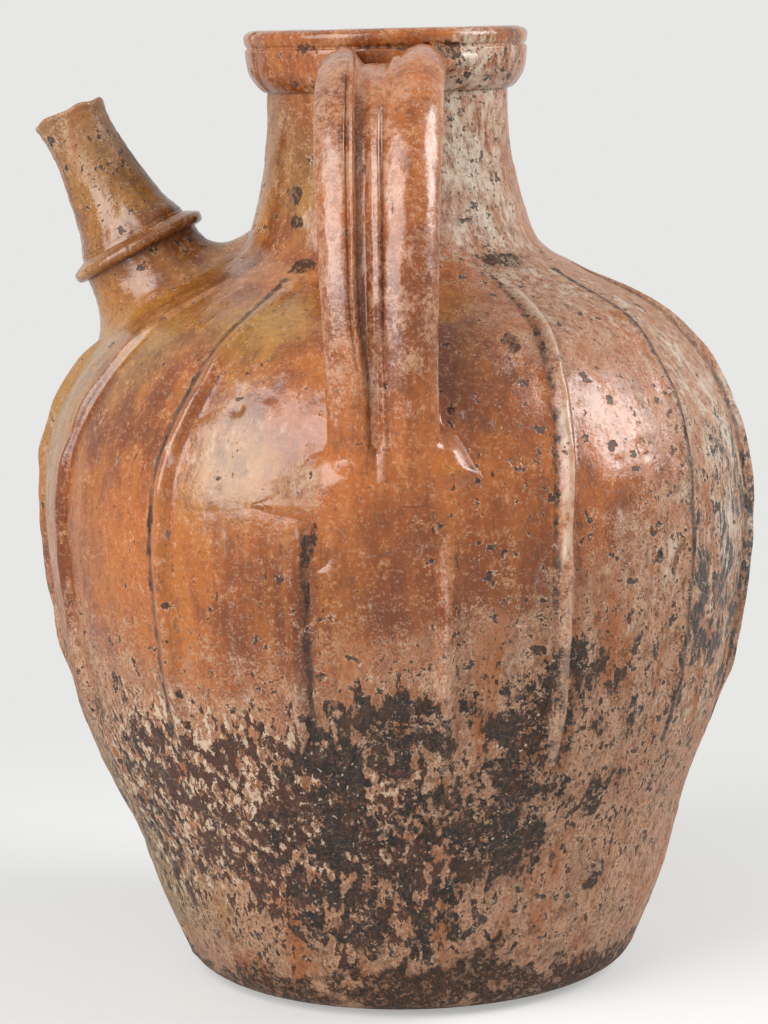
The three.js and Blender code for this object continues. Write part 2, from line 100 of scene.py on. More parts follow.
def lerp(start: float, end: float, share: float) -> float:
    """Goes from start to end by a share."""
    return start + (end - start) * share


def smoothstep(low: float, high: float, value: float) -> float:
    """Rises softly from 0 at low to 1 at high."""
    share = min(1.0, max(0.0, (value - low) / (high - low)))
    return share * share * (3.0 - 2.0 * share)


def azimuth_of(point: Vector) -> float:
    """Gives the azimuth of a point, in degrees."""
    return math.degrees(math.atan2(point.x, -point.y))


def outward(azimuth: float) -> Vector:
    """Gives the level unit vector that points out at an azimuth."""
    angle = math.radians(azimuth)
    return Vector((math.sin(angle), -math.cos(angle), 0.0))


def half_circle_turn(turn: float | np.ndarray) -> float | np.ndarray:
    """Brings turns in degrees between -180 and 180."""
    return (turn + 180.0) % 360.0 - 180.0


def spline(before: float, start: float, end: float, after: float, share: float) -> float:
    """Goes from start to end on a smooth curve.

    Args:
        before: The value before the start.
        start: Where the span starts.
        end: Where it ends.
        after: The value after the end.
        share: Share of the span.

    Returns:
        The value.
    """
    bend = 2 * before - 5 * start + 4 * end - after
    twist = 3 * start - before - 3 * end + after
    return 0.5 * (2 * start + (end - before) * share + bend * share**2 + twist * share**3)


def smooth_path(corners: Sequence[Pair], steps: int) -> list[Pair]:
    """Runs a smooth curve through corner points.

    Args:
        corners: The points to pass, as pairs.
        steps: Pieces in each span between two corners.

    Returns:
        The points along the curve, with both ends.
    """
    last = len(corners) - 1
    path: list[Pair] = []
    for span in range(last):
        near = [corners[min(max(span + offset, 0), last)] for offset in (-1, 0, 1, 2)]
        for step in range(steps):
            path.append(tuple(spline(*values, step / steps) for values in zip(*near)))
    path.append(corners[last])
    return path


def bezier(corners: Sequence[Pair], share: float) -> tuple[Vector, Vector]:
    """Finds a place on a cubic curve in the plane of the axis.

    Args:
        corners: The curve's four control points, as (radius, height).
        share: Share of the curve, from 0 to 1.

    Returns:
        The place and the unit tangent, both as 2D vectors.
    """
    a, b, c, d = (Vector(corner) for corner in corners)
    back = 1.0 - share
    place = a * back**3 + b * 3 * back**2 * share + c * 3 * back * share**2 + d * share**3
    travel = (b - a) * back**2 + (c - b) * 2 * back * share + (d - c) * share**2
    return place, travel.normalized()


@dataclass
class WallForm:
    """The thrown wall's outside as one uneven surface, which every other piece of clay is set on.

    Attributes:
        landmarks: Outer radius and height at each landmark, from the heel to the neck's waist.
        rim_top: Height of the rim.
        rim_radius: Outer radius of the rim band.
        neck_joint: Height at which the neck is luted on.
        neck_top: Height of the neck's edge, inside the rim band.
        thickness: Wall thickness, square to the slope.
        lean: How far the foot stands off the neck's axis, towards +X.
        lean_span: Heights between which the wall comes back to the axis.
        settled: Height from which the wall is uneven.
        unevenness: Depth of the broad dents that the hand left.
        ring_depth: Depth of the throwing lines.
        ring_pitch: Rise from one throwing line to the next.
    """

    landmarks: tuple[Pair, ...] = (
        (0.1022, 0.011),
        (0.1142, 0.04),
        (0.1243, 0.073),
        (0.146, 0.131),
        (0.1566, 0.205),
        (0.149, 0.254),
        (0.122, 0.292),
        (0.0845, 0.3135),
        (0.0692, 0.3225),
        (0.0618, 0.334),
        (0.0545, 0.365),
        (0.053, 0.393),
    )
    rim_top: float = 0.42
    rim_radius: float = 0.0623
    neck_joint: float = 0.322
    neck_top: float = 0.4137
    thickness: float = 0.008
    lean: float = 0.003
    lean_span: Pair = (0.055, 0.1)
    settled: float = 0.012
    unevenness: float = 0.0007
    ring_depth: float = 0.00006
    ring_pitch: float = 0.0052
    path: list[Pair] = field(init=False)
    heights: list[float] = field(init=False)

    def __post_init__(self) -> None:
        """Works the outline out once."""
        steps, spare = 24, 0.01
        waist = self.landmarks[-1][0]
        self.path = [*smooth_path(self.landmarks, steps), (waist, self.rim_top + spare)]
        self.heights = [height for _, height in self.path]

    def radius(self, height: float) -> float:
        """Gives the outer radius at a height, without the unevenness."""
        above = min(max(bisect_left(self.heights, height), 1), len(self.path) - 1)
        (low_radius, low), (high_radius, high) = self.path[above - 1], self.path[above]
        return lerp(low_radius, high_radius, (height - low) / (high - low))

    def slope(self, height: float) -> float:
        """Gives how fast the outer radius grows with height."""
        reach = 0.002
        return (self.radius(height + reach) - self.radius(height - reach)) / (2 * reach)

    def inner_radius(self, height: float) -> float:
        """Gives the inner radius at a height, without the unevenness."""
        return self.radius(height) - self.thickness * math.hypot(1.0, self.slope(height))

    def normal(self, azimuth: float, height: float) -> Vector:
        """Gives the outward normal of the even wall."""
        return (outward(azimuth) - Vector((0.0, 0.0, self.slope(height)))).normalized()

    def stray(self, azimuth: float, height: float) -> Vector:
        """Gives how far the hand-made wall strays from the even one.

        Args:
            azimuth: Degrees from the handle.
            height: Metres above the foot.

        Returns:
            The shift, in metres.
        """
        out = outward(azimuth)
        spot = Vector((out.x * 1.3, out.y * 1.3, height * 9.0))
        dent = noise.noise(spot) + 0.45 * noise.noise(spot * 2.7 + Vector((3.1, 7.7, 1.9)))
        turn = ROUND * height / self.ring_pitch + 3.0 * noise.noise(spot * 0.8)
        ring = math.sin(turn) * (0.5 + 0.5 * noise.noise(spot * 3.3 + Vector((9.0, 2.0, 4.0))))
        settled = smoothstep(0.0, self.settled, height)
        depth = settled * (self.unevenness * dent + self.ring_depth * ring)
        sideways = self.lean * (1.0 - smoothstep(*self.lean_span, height))
        return out * depth + Vector((sideways, 0.0, 0.0))

    def place(self, azimuth: float, height: float, lift: float = 0.0) -> Vector:
        """Finds a place on or off the uneven wall.

        Args:
            azimuth: Degrees from the handle.
            height: Metres above the foot.
            lift: How far the place stands off the wall, square to it.

        Returns:
            The place.
        """
        even = outward(azimuth) * self.radius(height) + Vector((0.0, 0.0, height))
        return even + self.stray(azimuth, height) + self.normal(azimuth, height) * lift

    def across(self, azimuth: float, height: float, side: float) -> float:
        """Gives the azimuth that lies some way sideways along the wall."""
        return azimuth + math.degrees(side / self.radius(height))


@dataclass(frozen=True)
class Patch:
    """A soft patch of weathering on the outside.

    Attributes:
        azimuth: Degrees from the handle, at the middle.
        height: Metres above the foot, at the middle.
        across: Half width along the wall.
        up: Half height.
        weight: Strength in the middle; a negative one clears.
    """

    azimuth: float
    height: float
    across: float
    up: float
    weight: float

    def spread(self, azimuths: np.ndarray, heights: np.ndarray, radii: np.ndarray) -> np.ndarray:
        """Gives the patch's strength at many places.

        Args:
            azimuths: Degrees from the handle.
            heights: Metres above the foot.
            radii: Distances from the axis.

        Returns:
            The strength at each place.
        """
        turn = half_circle_turn(azimuths - self.azimuth)
        sideways = np.radians(turn) * radii / self.across
        upwards = (heights - self.height) / self.up
        return self.weight * np.exp(-(sideways**2) - upwards**2)


@dataclass
class Weathering:
    """Where time has worn, flaked, stained and burnt the pitcher, with painted shade and sheen among the
    wear.

    Attributes:
        thick: Patches where the glaze lies thick and dark.
        dull: Patches where the gloss has gone.
        isle: Patches where dark glaze is left in small islands.
        flake: Patches where the glaze came off down to pale clay.
        scorch: Patches under a thick black crust.
        soot: Patches where the crust is thin and broken.
        olive: Patches where the glaze ran green.
        speck: Patches that dark pits gather in.
        grime: Spots that dirt has gathered in; some are also painted shade in hollows and shaded sides, and
            two just darken the wall at the foot.
        bloom_and_sheen: Patches under a whitish bloom, partly a painted reflection of the lights.
        low: Height under which the whole wall is worn.
        low_span: Height over which that wear sets in.
        low_wear: How far the low wall adds to each kind of wear.
        everywhere: What the whole outside has of a kind.
        most_isle: The most of the islands.
        most_soot: The most of the broken crust.
        dark_foot: Height below which the wall is made darker towards the foot.
        dark_foot_gain: How fast the darkening sets in below that.
    """

    thick: tuple[Patch, ...] = (
        Patch(2.0, 0.195, 0.085, 0.035, 0.8),
        Patch(20.0, 0.25, 0.02, 0.04, 0.5),
        Patch(12.0, 0.29, 0.02, 0.02, 0.6),
        Patch(-30.0, 0.36, 0.05, 0.06, 0.25),
        Patch(-95.0, 0.35, 0.08, 0.06, 0.9),
        Patch(-24.0, 0.245, 0.03, 0.03, 0.6),
        Patch(-50.0, 0.225, 0.03, 0.05, 0.35),
        Patch(140.0, 0.2, 0.09, 0.05, 0.6),
        Patch(225.0, 0.22, 0.07, 0.05, 0.5),
    )
    dull: tuple[Patch, ...] = (
        Patch(75.0, 0.2, 0.075, 0.12, 0.45),
        Patch(42.0, 0.168, 0.05, 0.04, 0.4),
        Patch(45.0, 0.36, 0.03, 0.05, 0.3),
        Patch(32.0, 0.293, 0.03, 0.02, 0.18),
        Patch(8.0, 0.17, 0.05, 0.03, 0.12),
        Patch(-13.0, 0.24, 0.014, 0.012, 0.3),
        Patch(-70.0, 0.12, 0.05, 0.06, 0.2),
        Patch(-95.0, 0.38, 0.06, 0.035, 0.2),
        Patch(-80.0, 0.23, 0.03, 0.07, 0.2),
        Patch(120.0, 0.19, 0.06, 0.05, 0.3),
        Patch(175.0, 0.24, 0.07, 0.04, 0.15),
        Patch(215.0, 0.17, 0.07, 0.05, 0.25),
    )
    isle: tuple[Patch, ...] = (
        Patch(-31.0, 0.1, 0.04, 0.032, 0.42),
        Patch(-12.0, 0.092, 0.03, 0.036, 0.4),
        Patch(-20.0, 0.07, 0.04, 0.03, 0.3),
        Patch(2.0, 0.085, 0.03, 0.045, 0.36),
        Patch(-47.0, 0.118, 0.03, 0.02, 0.4),
        Patch(-55.0, 0.062, 0.03, 0.03, 0.34),
        Patch(-20.0, 0.128, 0.035, 0.014, 0.3),
        Patch(-4.0, 0.045, 0.05, 0.02, 0.26),
        Patch(24.0, 0.118, 0.022, 0.03, 0.26),
        Patch(45.0, 0.1, 0.05, 0.05, 0.2),
        Patch(62.0, 0.19, 0.03, 0.07, 0.3),
        Patch(110.0, 0.1, 0.06, 0.04, 0.45),
        Patch(150.0, 0.08, 0.05, 0.035, 0.5),
        Patch(190.0, 0.11, 0.05, 0.035, 0.45),
        Patch(235.0, 0.09, 0.06, 0.04, 0.5),
        Patch(275.0, 0.1, 0.05, 0.04, 0.4),
    )
    flake: tuple[Patch, ...] = (
        Patch(-38.0, 0.108, 0.05, 0.036, 0.8),
        Patch(-10.0, 0.1, 0.05, 0.045, 0.3),
        Patch(-58.0, 0.075, 0.04, 0.04, 0.4),
        Patch(20.0, 0.13, 0.05, 0.04, 0.1),
        Patch(60.0, 0.16, 0.04, 0.06, 0.3),
        Patch(42.0, 0.358, 0.022, 0.036, 0.45),
        Patch(40.0, 0.408, 0.022, 0.014, 0.5),
        Patch(150.0, 0.1, 0.07, 0.04, 0.5),
        Patch(240.0, 0.1, 0.07, 0.045, 0.6),
    )
    scorch: tuple[Patch, ...] = (
        Patch(-0.5, 0.143, 0.015, 0.012, 0.5),
        Patch(21.5, 0.128, 0.01, 0.019, 0.6),
        Patch(22.0, 0.083, 0.015, 0.015, 0.6),
        Patch(16.0, 0.088, 0.008, 0.009, 0.45),
        Patch(38.5, 0.098, 0.007, 0.012, 0.6),
        Patch(43.0, 0.063, 0.006, 0.009, 0.55),
        Patch(29.0, 0.163, 0.009, 0.007, 0.5),
        Patch(-9.0, 0.108, 0.008, 0.02, 0.3),
    )
    soot: tuple[Patch, ...] = (
        Patch(-1.0, 0.12, 0.03, 0.026, 0.44),
        Patch(5.0, 0.09, 0.026, 0.034, 0.4),
        Patch(-9.0, 0.1, 0.022, 0.034, 0.4),
        Patch(-16.0, 0.084, 0.026, 0.034, 0.3),
        Patch(-4.0, 0.05, 0.045, 0.024, 0.36),
        Patch(26.0, 0.11, 0.035, 0.04, 0.2),
        Patch(12.0, 0.145, 0.05, 0.02, 0.2),
        Patch(36.0, 0.155, 0.04, 0.03, 0.26),
        Patch(-58.0, 0.11, 0.03, 0.05, 0.28),
        Patch(56.0, 0.17, 0.012, 0.05, 0.44),
        Patch(66.0, 0.2, 0.02, 0.07, 0.42),
        Patch(76.0, 0.19, 0.02, 0.08, 0.42),
        Patch(86.0, 0.17, 0.02, 0.07, 0.36),
        Patch(105.0, 0.12, 0.03, 0.03, 0.45),
        Patch(140.0, 0.1, 0.05, 0.04, 0.5),
        Patch(172.0, 0.13, 0.03, 0.02, 0.5),
        Patch(205.0, 0.085, 0.05, 0.035, 0.45),
        Patch(250.0, 0.12, 0.03, 0.03, 0.4),
    )
    olive: tuple[Patch, ...] = (
        Patch(-27.0, 0.3, 0.03, 0.014, 0.7),
        Patch(-52.0, 0.29, 0.02, 0.02, 0.5),
        Patch(18.0, 0.304, 0.018, 0.014, 0.35),
        Patch(-32.0, 0.352, 0.02, 0.025, 0.4),
        Patch(-80.0, 0.25, 0.035, 0.07, 0.8),
        Patch(-72.0, 0.075, 0.03, 0.05, 0.8),
        Patch(-25.0, 0.246, 0.028, 0.034, 0.6),
        Patch(-95.0, 0.37, 0.06, 0.045, 0.5),
        Patch(-58.0, 0.268, 0.05, 0.03, 0.2),
        Patch(-60.0, 0.05, 0.07, 0.03, 0.6),
        Patch(110.0, 0.3, 0.03, 0.02, 0.6),
        Patch(170.0, 0.295, 0.05, 0.025, 0.6),
        Patch(215.0, 0.3, 0.04, 0.02, 0.6),
        Patch(160.0, 0.36, 0.03, 0.03, 0.5),
    )
    speck: tuple[Patch, ...] = (
        Patch(56.0, 0.22, 0.045, 0.07, 0.75),
        Patch(45.0, 0.36, 0.03, 0.05, 0.8),
        Patch(40.0, 0.405, 0.03, 0.02, 0.8),
        Patch(35.0, 0.18, 0.06, 0.05, 0.5),
        Patch(0.0, 0.15, 0.14, 0.04, 0.5),
        Patch(-60.0, 0.12, 0.05, 0.05, 0.5),
        Patch(30.0, 0.315, 0.02, 0.01, 0.6),
        Patch(22.0, 0.255, 0.03, 0.05, 0.45),
        Patch(-95.0, 0.36, 0.08, 0.05, 0.45),
        Patch(150.0, 0.2, 0.1, 0.1, 0.5),
        Patch(230.0, 0.16, 0.1, 0.08, 0.5),
    )
    grime: tuple[Patch, ...] = (
        # These two darken the wall towards the foot.
        Patch(-4.0, 0.026, 0.06, 0.02, 0.6),
        Patch(22.0, 0.03, 0.02, 0.014, 0.4),
        # Painted shade with some dirt: in the hollow under the left end of the handle's foot, along the
        # shaded right side of rib_04, and in the gap at the right edge of the handle's foot.
        Patch(-11.0, 0.219, 0.0035, 0.009, 0.85),
        Patch(-12.0, 0.2, 0.002, 0.014, 0.6),
        Patch(10.4, 0.265, 0.004, 0.005, 1.0),
        Patch(-43.0, 0.35, 0.005, 0.005, 1.2),
        Patch(-40.0, 0.338, 0.005, 0.004, 1.2),
        Patch(-30.0, 0.321, 0.007, 0.004, 1.1),
        Patch(37.0, 0.3215, 0.008, 0.004, 0.9),
        Patch(47.0, 0.3205, 0.007, 0.004, 0.8),
        Patch(62.0, 0.322, 0.02, 0.004, 0.5),
        Patch(24.5, 0.291, 0.006, 0.006, 0.9),
        Patch(28.0, 0.41, 0.012, 0.006, 0.8),
        Patch(0.0, 0.412, 0.02, 0.004, 0.6),
        Patch(-33.0, 0.41, 0.006, 0.006, 0.7),
        Patch(39.5, 0.227, 0.006, 0.008, 0.75),
        Patch(45.0, 0.2, 0.006, 0.014, 0.8),
        Patch(120.0, 0.25, 0.008, 0.01, 0.7),
        Patch(195.0, 0.322, 0.03, 0.004, 0.6),
    )
    bloom_and_sheen: tuple[Patch, ...] = (
        # On the neck, the rim and the right side the bloom is partly a painted reflection of the right-hand
        # light; at -24 it is partly painted glare of the left-hand light.
        Patch(40.0, 0.358, 0.03, 0.042, 0.85),
        Patch(46.0, 0.407, 0.026, 0.018, 0.6),
        Patch(70.0, 0.22, 0.045, 0.09, 0.82),
        Patch(44.0, 0.2, 0.03, 0.03, 0.35),
        Patch(56.0, 0.3, 0.03, 0.02, 0.2),
        Patch(-24.0, 0.248, 0.03, 0.024, 0.3),
        Patch(150.0, 0.36, 0.03, 0.03, 0.5),
        Patch(200.0, 0.28, 0.05, 0.03, 0.3),
    )
    low: float = 0.195
    low_span: float = 0.1
    low_wear: Mapping[Wear, float] = field(
        default_factory=lambda: {
            Wear.DULL: 0.42,
            Wear.ISLE: 0.12,
            Wear.FLAKE: 0.06,
            Wear.SCORCH: 0.12,
            Wear.SPECK: 0.42,
        }
    )
    everywhere: Mapping[Wear, float] = field(default_factory=lambda: {Wear.DULL: 0.02, Wear.SPECK: 0.04})
    most_isle: float = 0.55
    most_soot: float = 0.43
    dark_foot: float = 0.03
    dark_foot_gain: float = 1.6

    def fields(self, points: np.ndarray) -> dict[Wear, np.ndarray]:
        """Works out the weathering that depends on the place alone.

        Args:
            points: Places on the pitcher, one a row.

        Returns:
            A strength for each place and kind of wear.
        """
        azimuths = np.degrees(np.arctan2(points[:, 0], -points[:, 1]))
        heights = points[:, 2]
        radii = np.hypot(points[:, 0], points[:, 1])

        low = np.clip((self.low - heights) / self.low_span, 0.0, 1.0)
        # The wall is made darker towards the foot.
        dark_foot = np.clip((self.dark_foot - heights) / self.dark_foot * self.dark_foot_gain, 0.0, 1.0)

        def total(kind: Wear, patches: Sequence[Patch]) -> np.ndarray:
            """Adds up a kind's patches and what the wall has of it."""
            strength = sum(patch.spread(azimuths, heights, radii) for patch in patches)
            return strength + self.everywhere.get(kind, 0.0) + self.low_wear.get(kind, 0.0) * low

        crust = sum(patch.spread(azimuths, heights, radii) for patch in self.scorch)
        return {
            Wear.THICK: total(Wear.THICK, self.thick),
            Wear.DULL: total(Wear.DULL, self.dull),
            Wear.ISLE: np.minimum(total(Wear.ISLE, self.isle), self.most_isle),
            Wear.FLAKE: total(Wear.FLAKE, self.flake),
            Wear.SCORCH: np.minimum(total(Wear.SCORCH, self.soot), self.most_soot) + crust,
            Wear.OLIVE: total(Wear.OLIVE, self.olive),
            Wear.SPECK: total(Wear.SPECK, self.speck),
            Wear.GRIME: total(Wear.GRIME, self.grime) + dark_foot,
            Wear.BLOOM_AND_SHEEN: total(Wear.BLOOM_AND_SHEEN, self.bloom_and_sheen),
            Wear.SEAM: np.zeros(len(points)),
        }


class Wiring:
    """Builds a node tree."""

    def __init__(self, tree: bpy.types.NodeTree) -> None:
        """Takes the tree that nodes are added to."""
        self.tree = tree

    def node(self, kind: str, links: dict[int | str, object], **settings: object) -> bpy.types.Node:
        """Adds a node.

        Args:
            kind: The node's type.
            links: A socket to link from, or a plain value, for each input.
            **settings: The node's own properties.

        Returns:
            The node.
        """
        made = self.tree.nodes.new(kind)
        for name, value in settings.items():
            setattr(made, name, value)
        for key, value in links.items():
            if isinstance(value, bpy.types.NodeSocket):
                self.tree.links.new(value, made.inputs[key])
            else:
                made.inputs[key].default_value = value
        return made

    def place(self) -> Socket:
        """Gives the place on the piece."""
        return self.node("ShaderNodeTexCoord", {}).outputs["Object"]

    def squeezed(self, place: Socket, scale: Triple) -> Socket:
        """Scales a place along the axes."""
        return self.node("ShaderNodeMapping", {"Vector": place, "Scale": scale}).outputs[0]

    def wear(self, kind: Wear) -> Socket:
        """Reads a kind of wear off the piece."""
        return self.node("ShaderNodeAttribute", {}, attribute_name=kind.value).outputs["Fac"]

    def noise(self, place: Socket, scale: float, detail: float, rough: float) -> Socket:
        """Adds cloudy noise, from 0 to 1."""
        links = {"Vector": place, "Scale": scale, "Detail": detail, "Roughness": rough}
        return self.node("ShaderNodeTexNoise", links).outputs[0]

    def math(self, kind: str, first: object, second: object = 0.0) -> Socket:
        """Joins two numbers."""
        return self.node("ShaderNodeMath", {0: first, 1: second}, operation=kind).outputs[0]

    def plus(self, first: object, second: object) -> Socket:
        """Adds two numbers."""
        return self.math("ADD", first, second)

    def times(self, first: object, second: object) -> Socket:
        """Multiplies two numbers."""
        return self.math("MULTIPLY", first, second)

    def shaken(self, place: Socket, scale: float, amount: float) -> Socket:
        """Shakes a place about, so that what is drawn there turns ragged."""
        cloud = self.node("ShaderNodeTexNoise", {"Vector": place, "Scale": scale, "Detail": 2.0})
        links = {0: cloud.outputs["Color"], 1: (amount, amount, amount), 2: place}
        return self.node("ShaderNodeVectorMath", links, operation="MULTIPLY_ADD").outputs[0]

    def cells(self, place: Socket, scale: float) -> tuple[Socket, Sequence[Socket]]:
        """Adds a mosaic of cells: the way from each cell's middle, and three random lots for it."""
        made = self.node("ShaderNodeTexVoronoi", {"Vector": place, "Scale": scale})
        lots = self.node("ShaderNodeSeparateColor", {0: made.outputs["Color"]})
        return made.outputs["Distance"], lots.outputs

    def step(self, value: object, low: object, high: object) -> Socket:
        """Rises softly from 0 at low to 1 at high."""
        links = {"Value": value, "From Min": low, "From Max": high}
        return self.node("ShaderNodeMapRange", links, interpolation_type="SMOOTHSTEP").outputs[0]

    def scaled(self, value: object, low: float, high: float) -> Socket:
        """Spreads a number from 0 to 1 over another range."""
        links = {"Value": value, "To Min": low, "To Max": high}
        return self.node("ShaderNodeMapRange", links).outputs[0]

    def blend(self, share: object, under: object, over: object) -> Socket:
        """Lays one colour over another."""
        links = {0: share, 6: self.opaque(under), 7: self.opaque(over)}
        return self.node("ShaderNodeMix", links, data_type="RGBA").outputs[2]

    def between(self, share: object, under: object, over: object) -> Socket:
        """Goes from one number to another."""
        return self.node("ShaderNodeMix", {0: share, 2: under, 3: over}, data_type="FLOAT").outputs[0]

    def backdrop(self) -> Socket:
        """Gives 1 for the rays that see the backdrop, and 0 for those that only carry its light."""
        path = self.node("ShaderNodeLightPath", {}).outputs
        seen = self.math("MAXIMUM", path["Is Camera Ray"], path["Is Glossy Ray"])
        return self.math("MAXIMUM", seen, path["Is Transmission Ray"])

    @staticmethod
    def opaque(colour: object) -> object:
        """Gives a plain colour its alpha, and leaves a socket as it is."""
        return (*colour, 1.0) if isinstance(colour, tuple) else colour


class Finish(Wiring):
    """Builds one material."""

    def __init__(self, name: str) -> None:
        """Starts a material with a bare shader."""
        self.material = bpy.data.materials.new(name)
        self.material.use_nodes = True
        super().__init__(self.material.node_tree)
        self.shader = self.tree.nodes["Principled BSDF"]


@dataclass
class Coat:
    """A surface that is laid down in layers.

    Attributes:
        wiring: The material's nodes.
        colour: Colour so far.
        roughness: Roughness so far.
        height: Relief so far.
        sheen: Strength of the mirror light so far, where one half is the plain strength.
    """

    wiring: Finish
    colour: object
    roughness: object
    height: object
    sheen: object = 0.5

    def lay(
        self,
        share: object,
        colour: object,
        roughness: float,
        rise: float = 0.0,
        sheen: float = 0.5,
    ) -> None:
        """Lays a layer over the rest.

        Args:
            share: Where the layer lies, from 0 to 1.
            colour: Its colour.
            roughness: Its roughness.
            rise: How far it stands out, as a share of the relief.
            sheen: Strength of its mirror light.
        """
        w = self.wiring
        self.colour = w.blend(share, self.colour, colour)
        self.roughness = w.between(share, self.roughness, roughness)
        if sheen != self.sheen:
            self.sheen = w.between(share, self.sheen, sheen)
        if rise:
            self.height = w.plus(self.height, w.times(share, rise))

    def roughen(self, share: object, relief: object, level: float) -> None:
        """Adds relief in a part of the surface.

        Args:
            share: Where it lies, from 0 to 1.
            relief: The relief.
            level: Its mean, which is taken off.
        """
        w = self.wiring
        self.height = w.plus(self.height, w.times(share, w.math("SUBTRACT", relief, level)))

    def finish(self, relief: float) -> bpy.types.Material:
        """Joins the layers to the shader.

        Args:
            relief: Depth of the relief.

        Returns:
            The material.
        """
        w = self.wiring
        bump = w.node("ShaderNodeBump", {"Strength": 0.7, "Distance": relief, "Height": self.height})
        layers = {
            "Base Color": self.colour,
            "Roughness": self.roughness,
            "Specular IOR Level": self.sheen,
            "Normal": bump.outputs[0],
        }
        for name, layer in layers.items():
            w.tree.links.new(layer, w.shader.inputs[name])
        return w.material


class Grains:
    """The noises that the glaze's layers share, from broad clouds to fine grain."""

    def __init__(self, w: Finish) -> None:
        """Adds the noises to a material.

        Args:
            w: The material.
        """
        self.place = w.place()
        self.tall = w.squeezed(self.place, (1.0, 1.0, 0.5))
        self.clouds = w.noise(self.place, 17.0, 5.0, 0.55)
        self.lumps = w.noise(self.place, 95.0, 5.0, 0.6)
        self.grain = w.noise(self.place, 430.0, 4.0, 0.65)
        self.fine = w.noise(self.place, 1000.0, 3.0, 0.6)
        self.runs = w.noise(w.squeezed(self.place, (1.0, 1.0, 0.1)), 80.0, 4.0, 0.6)
        self.crumbs = w.noise(self.tall, 290.0, 5.0, 0.62)
        self.patchy = w.noise(self.tall, 110.0, 6.0, 0.68)
        self.combed = w.noise(w.squeezed(self.place, (0.3, 0.3, 1.0)), 700.0, 3.0, 0.6)
        small = w.plus(w.times(self.grain, 0.3), w.times(self.fine, 0.3))
        self.mottle = w.plus(w.times(self.lumps, 0.4), small)
        self.broken = w.step(w.plus(self.grain, w.scaled(self.lumps, -0.45, 0.45)), 0.6, 0.55)


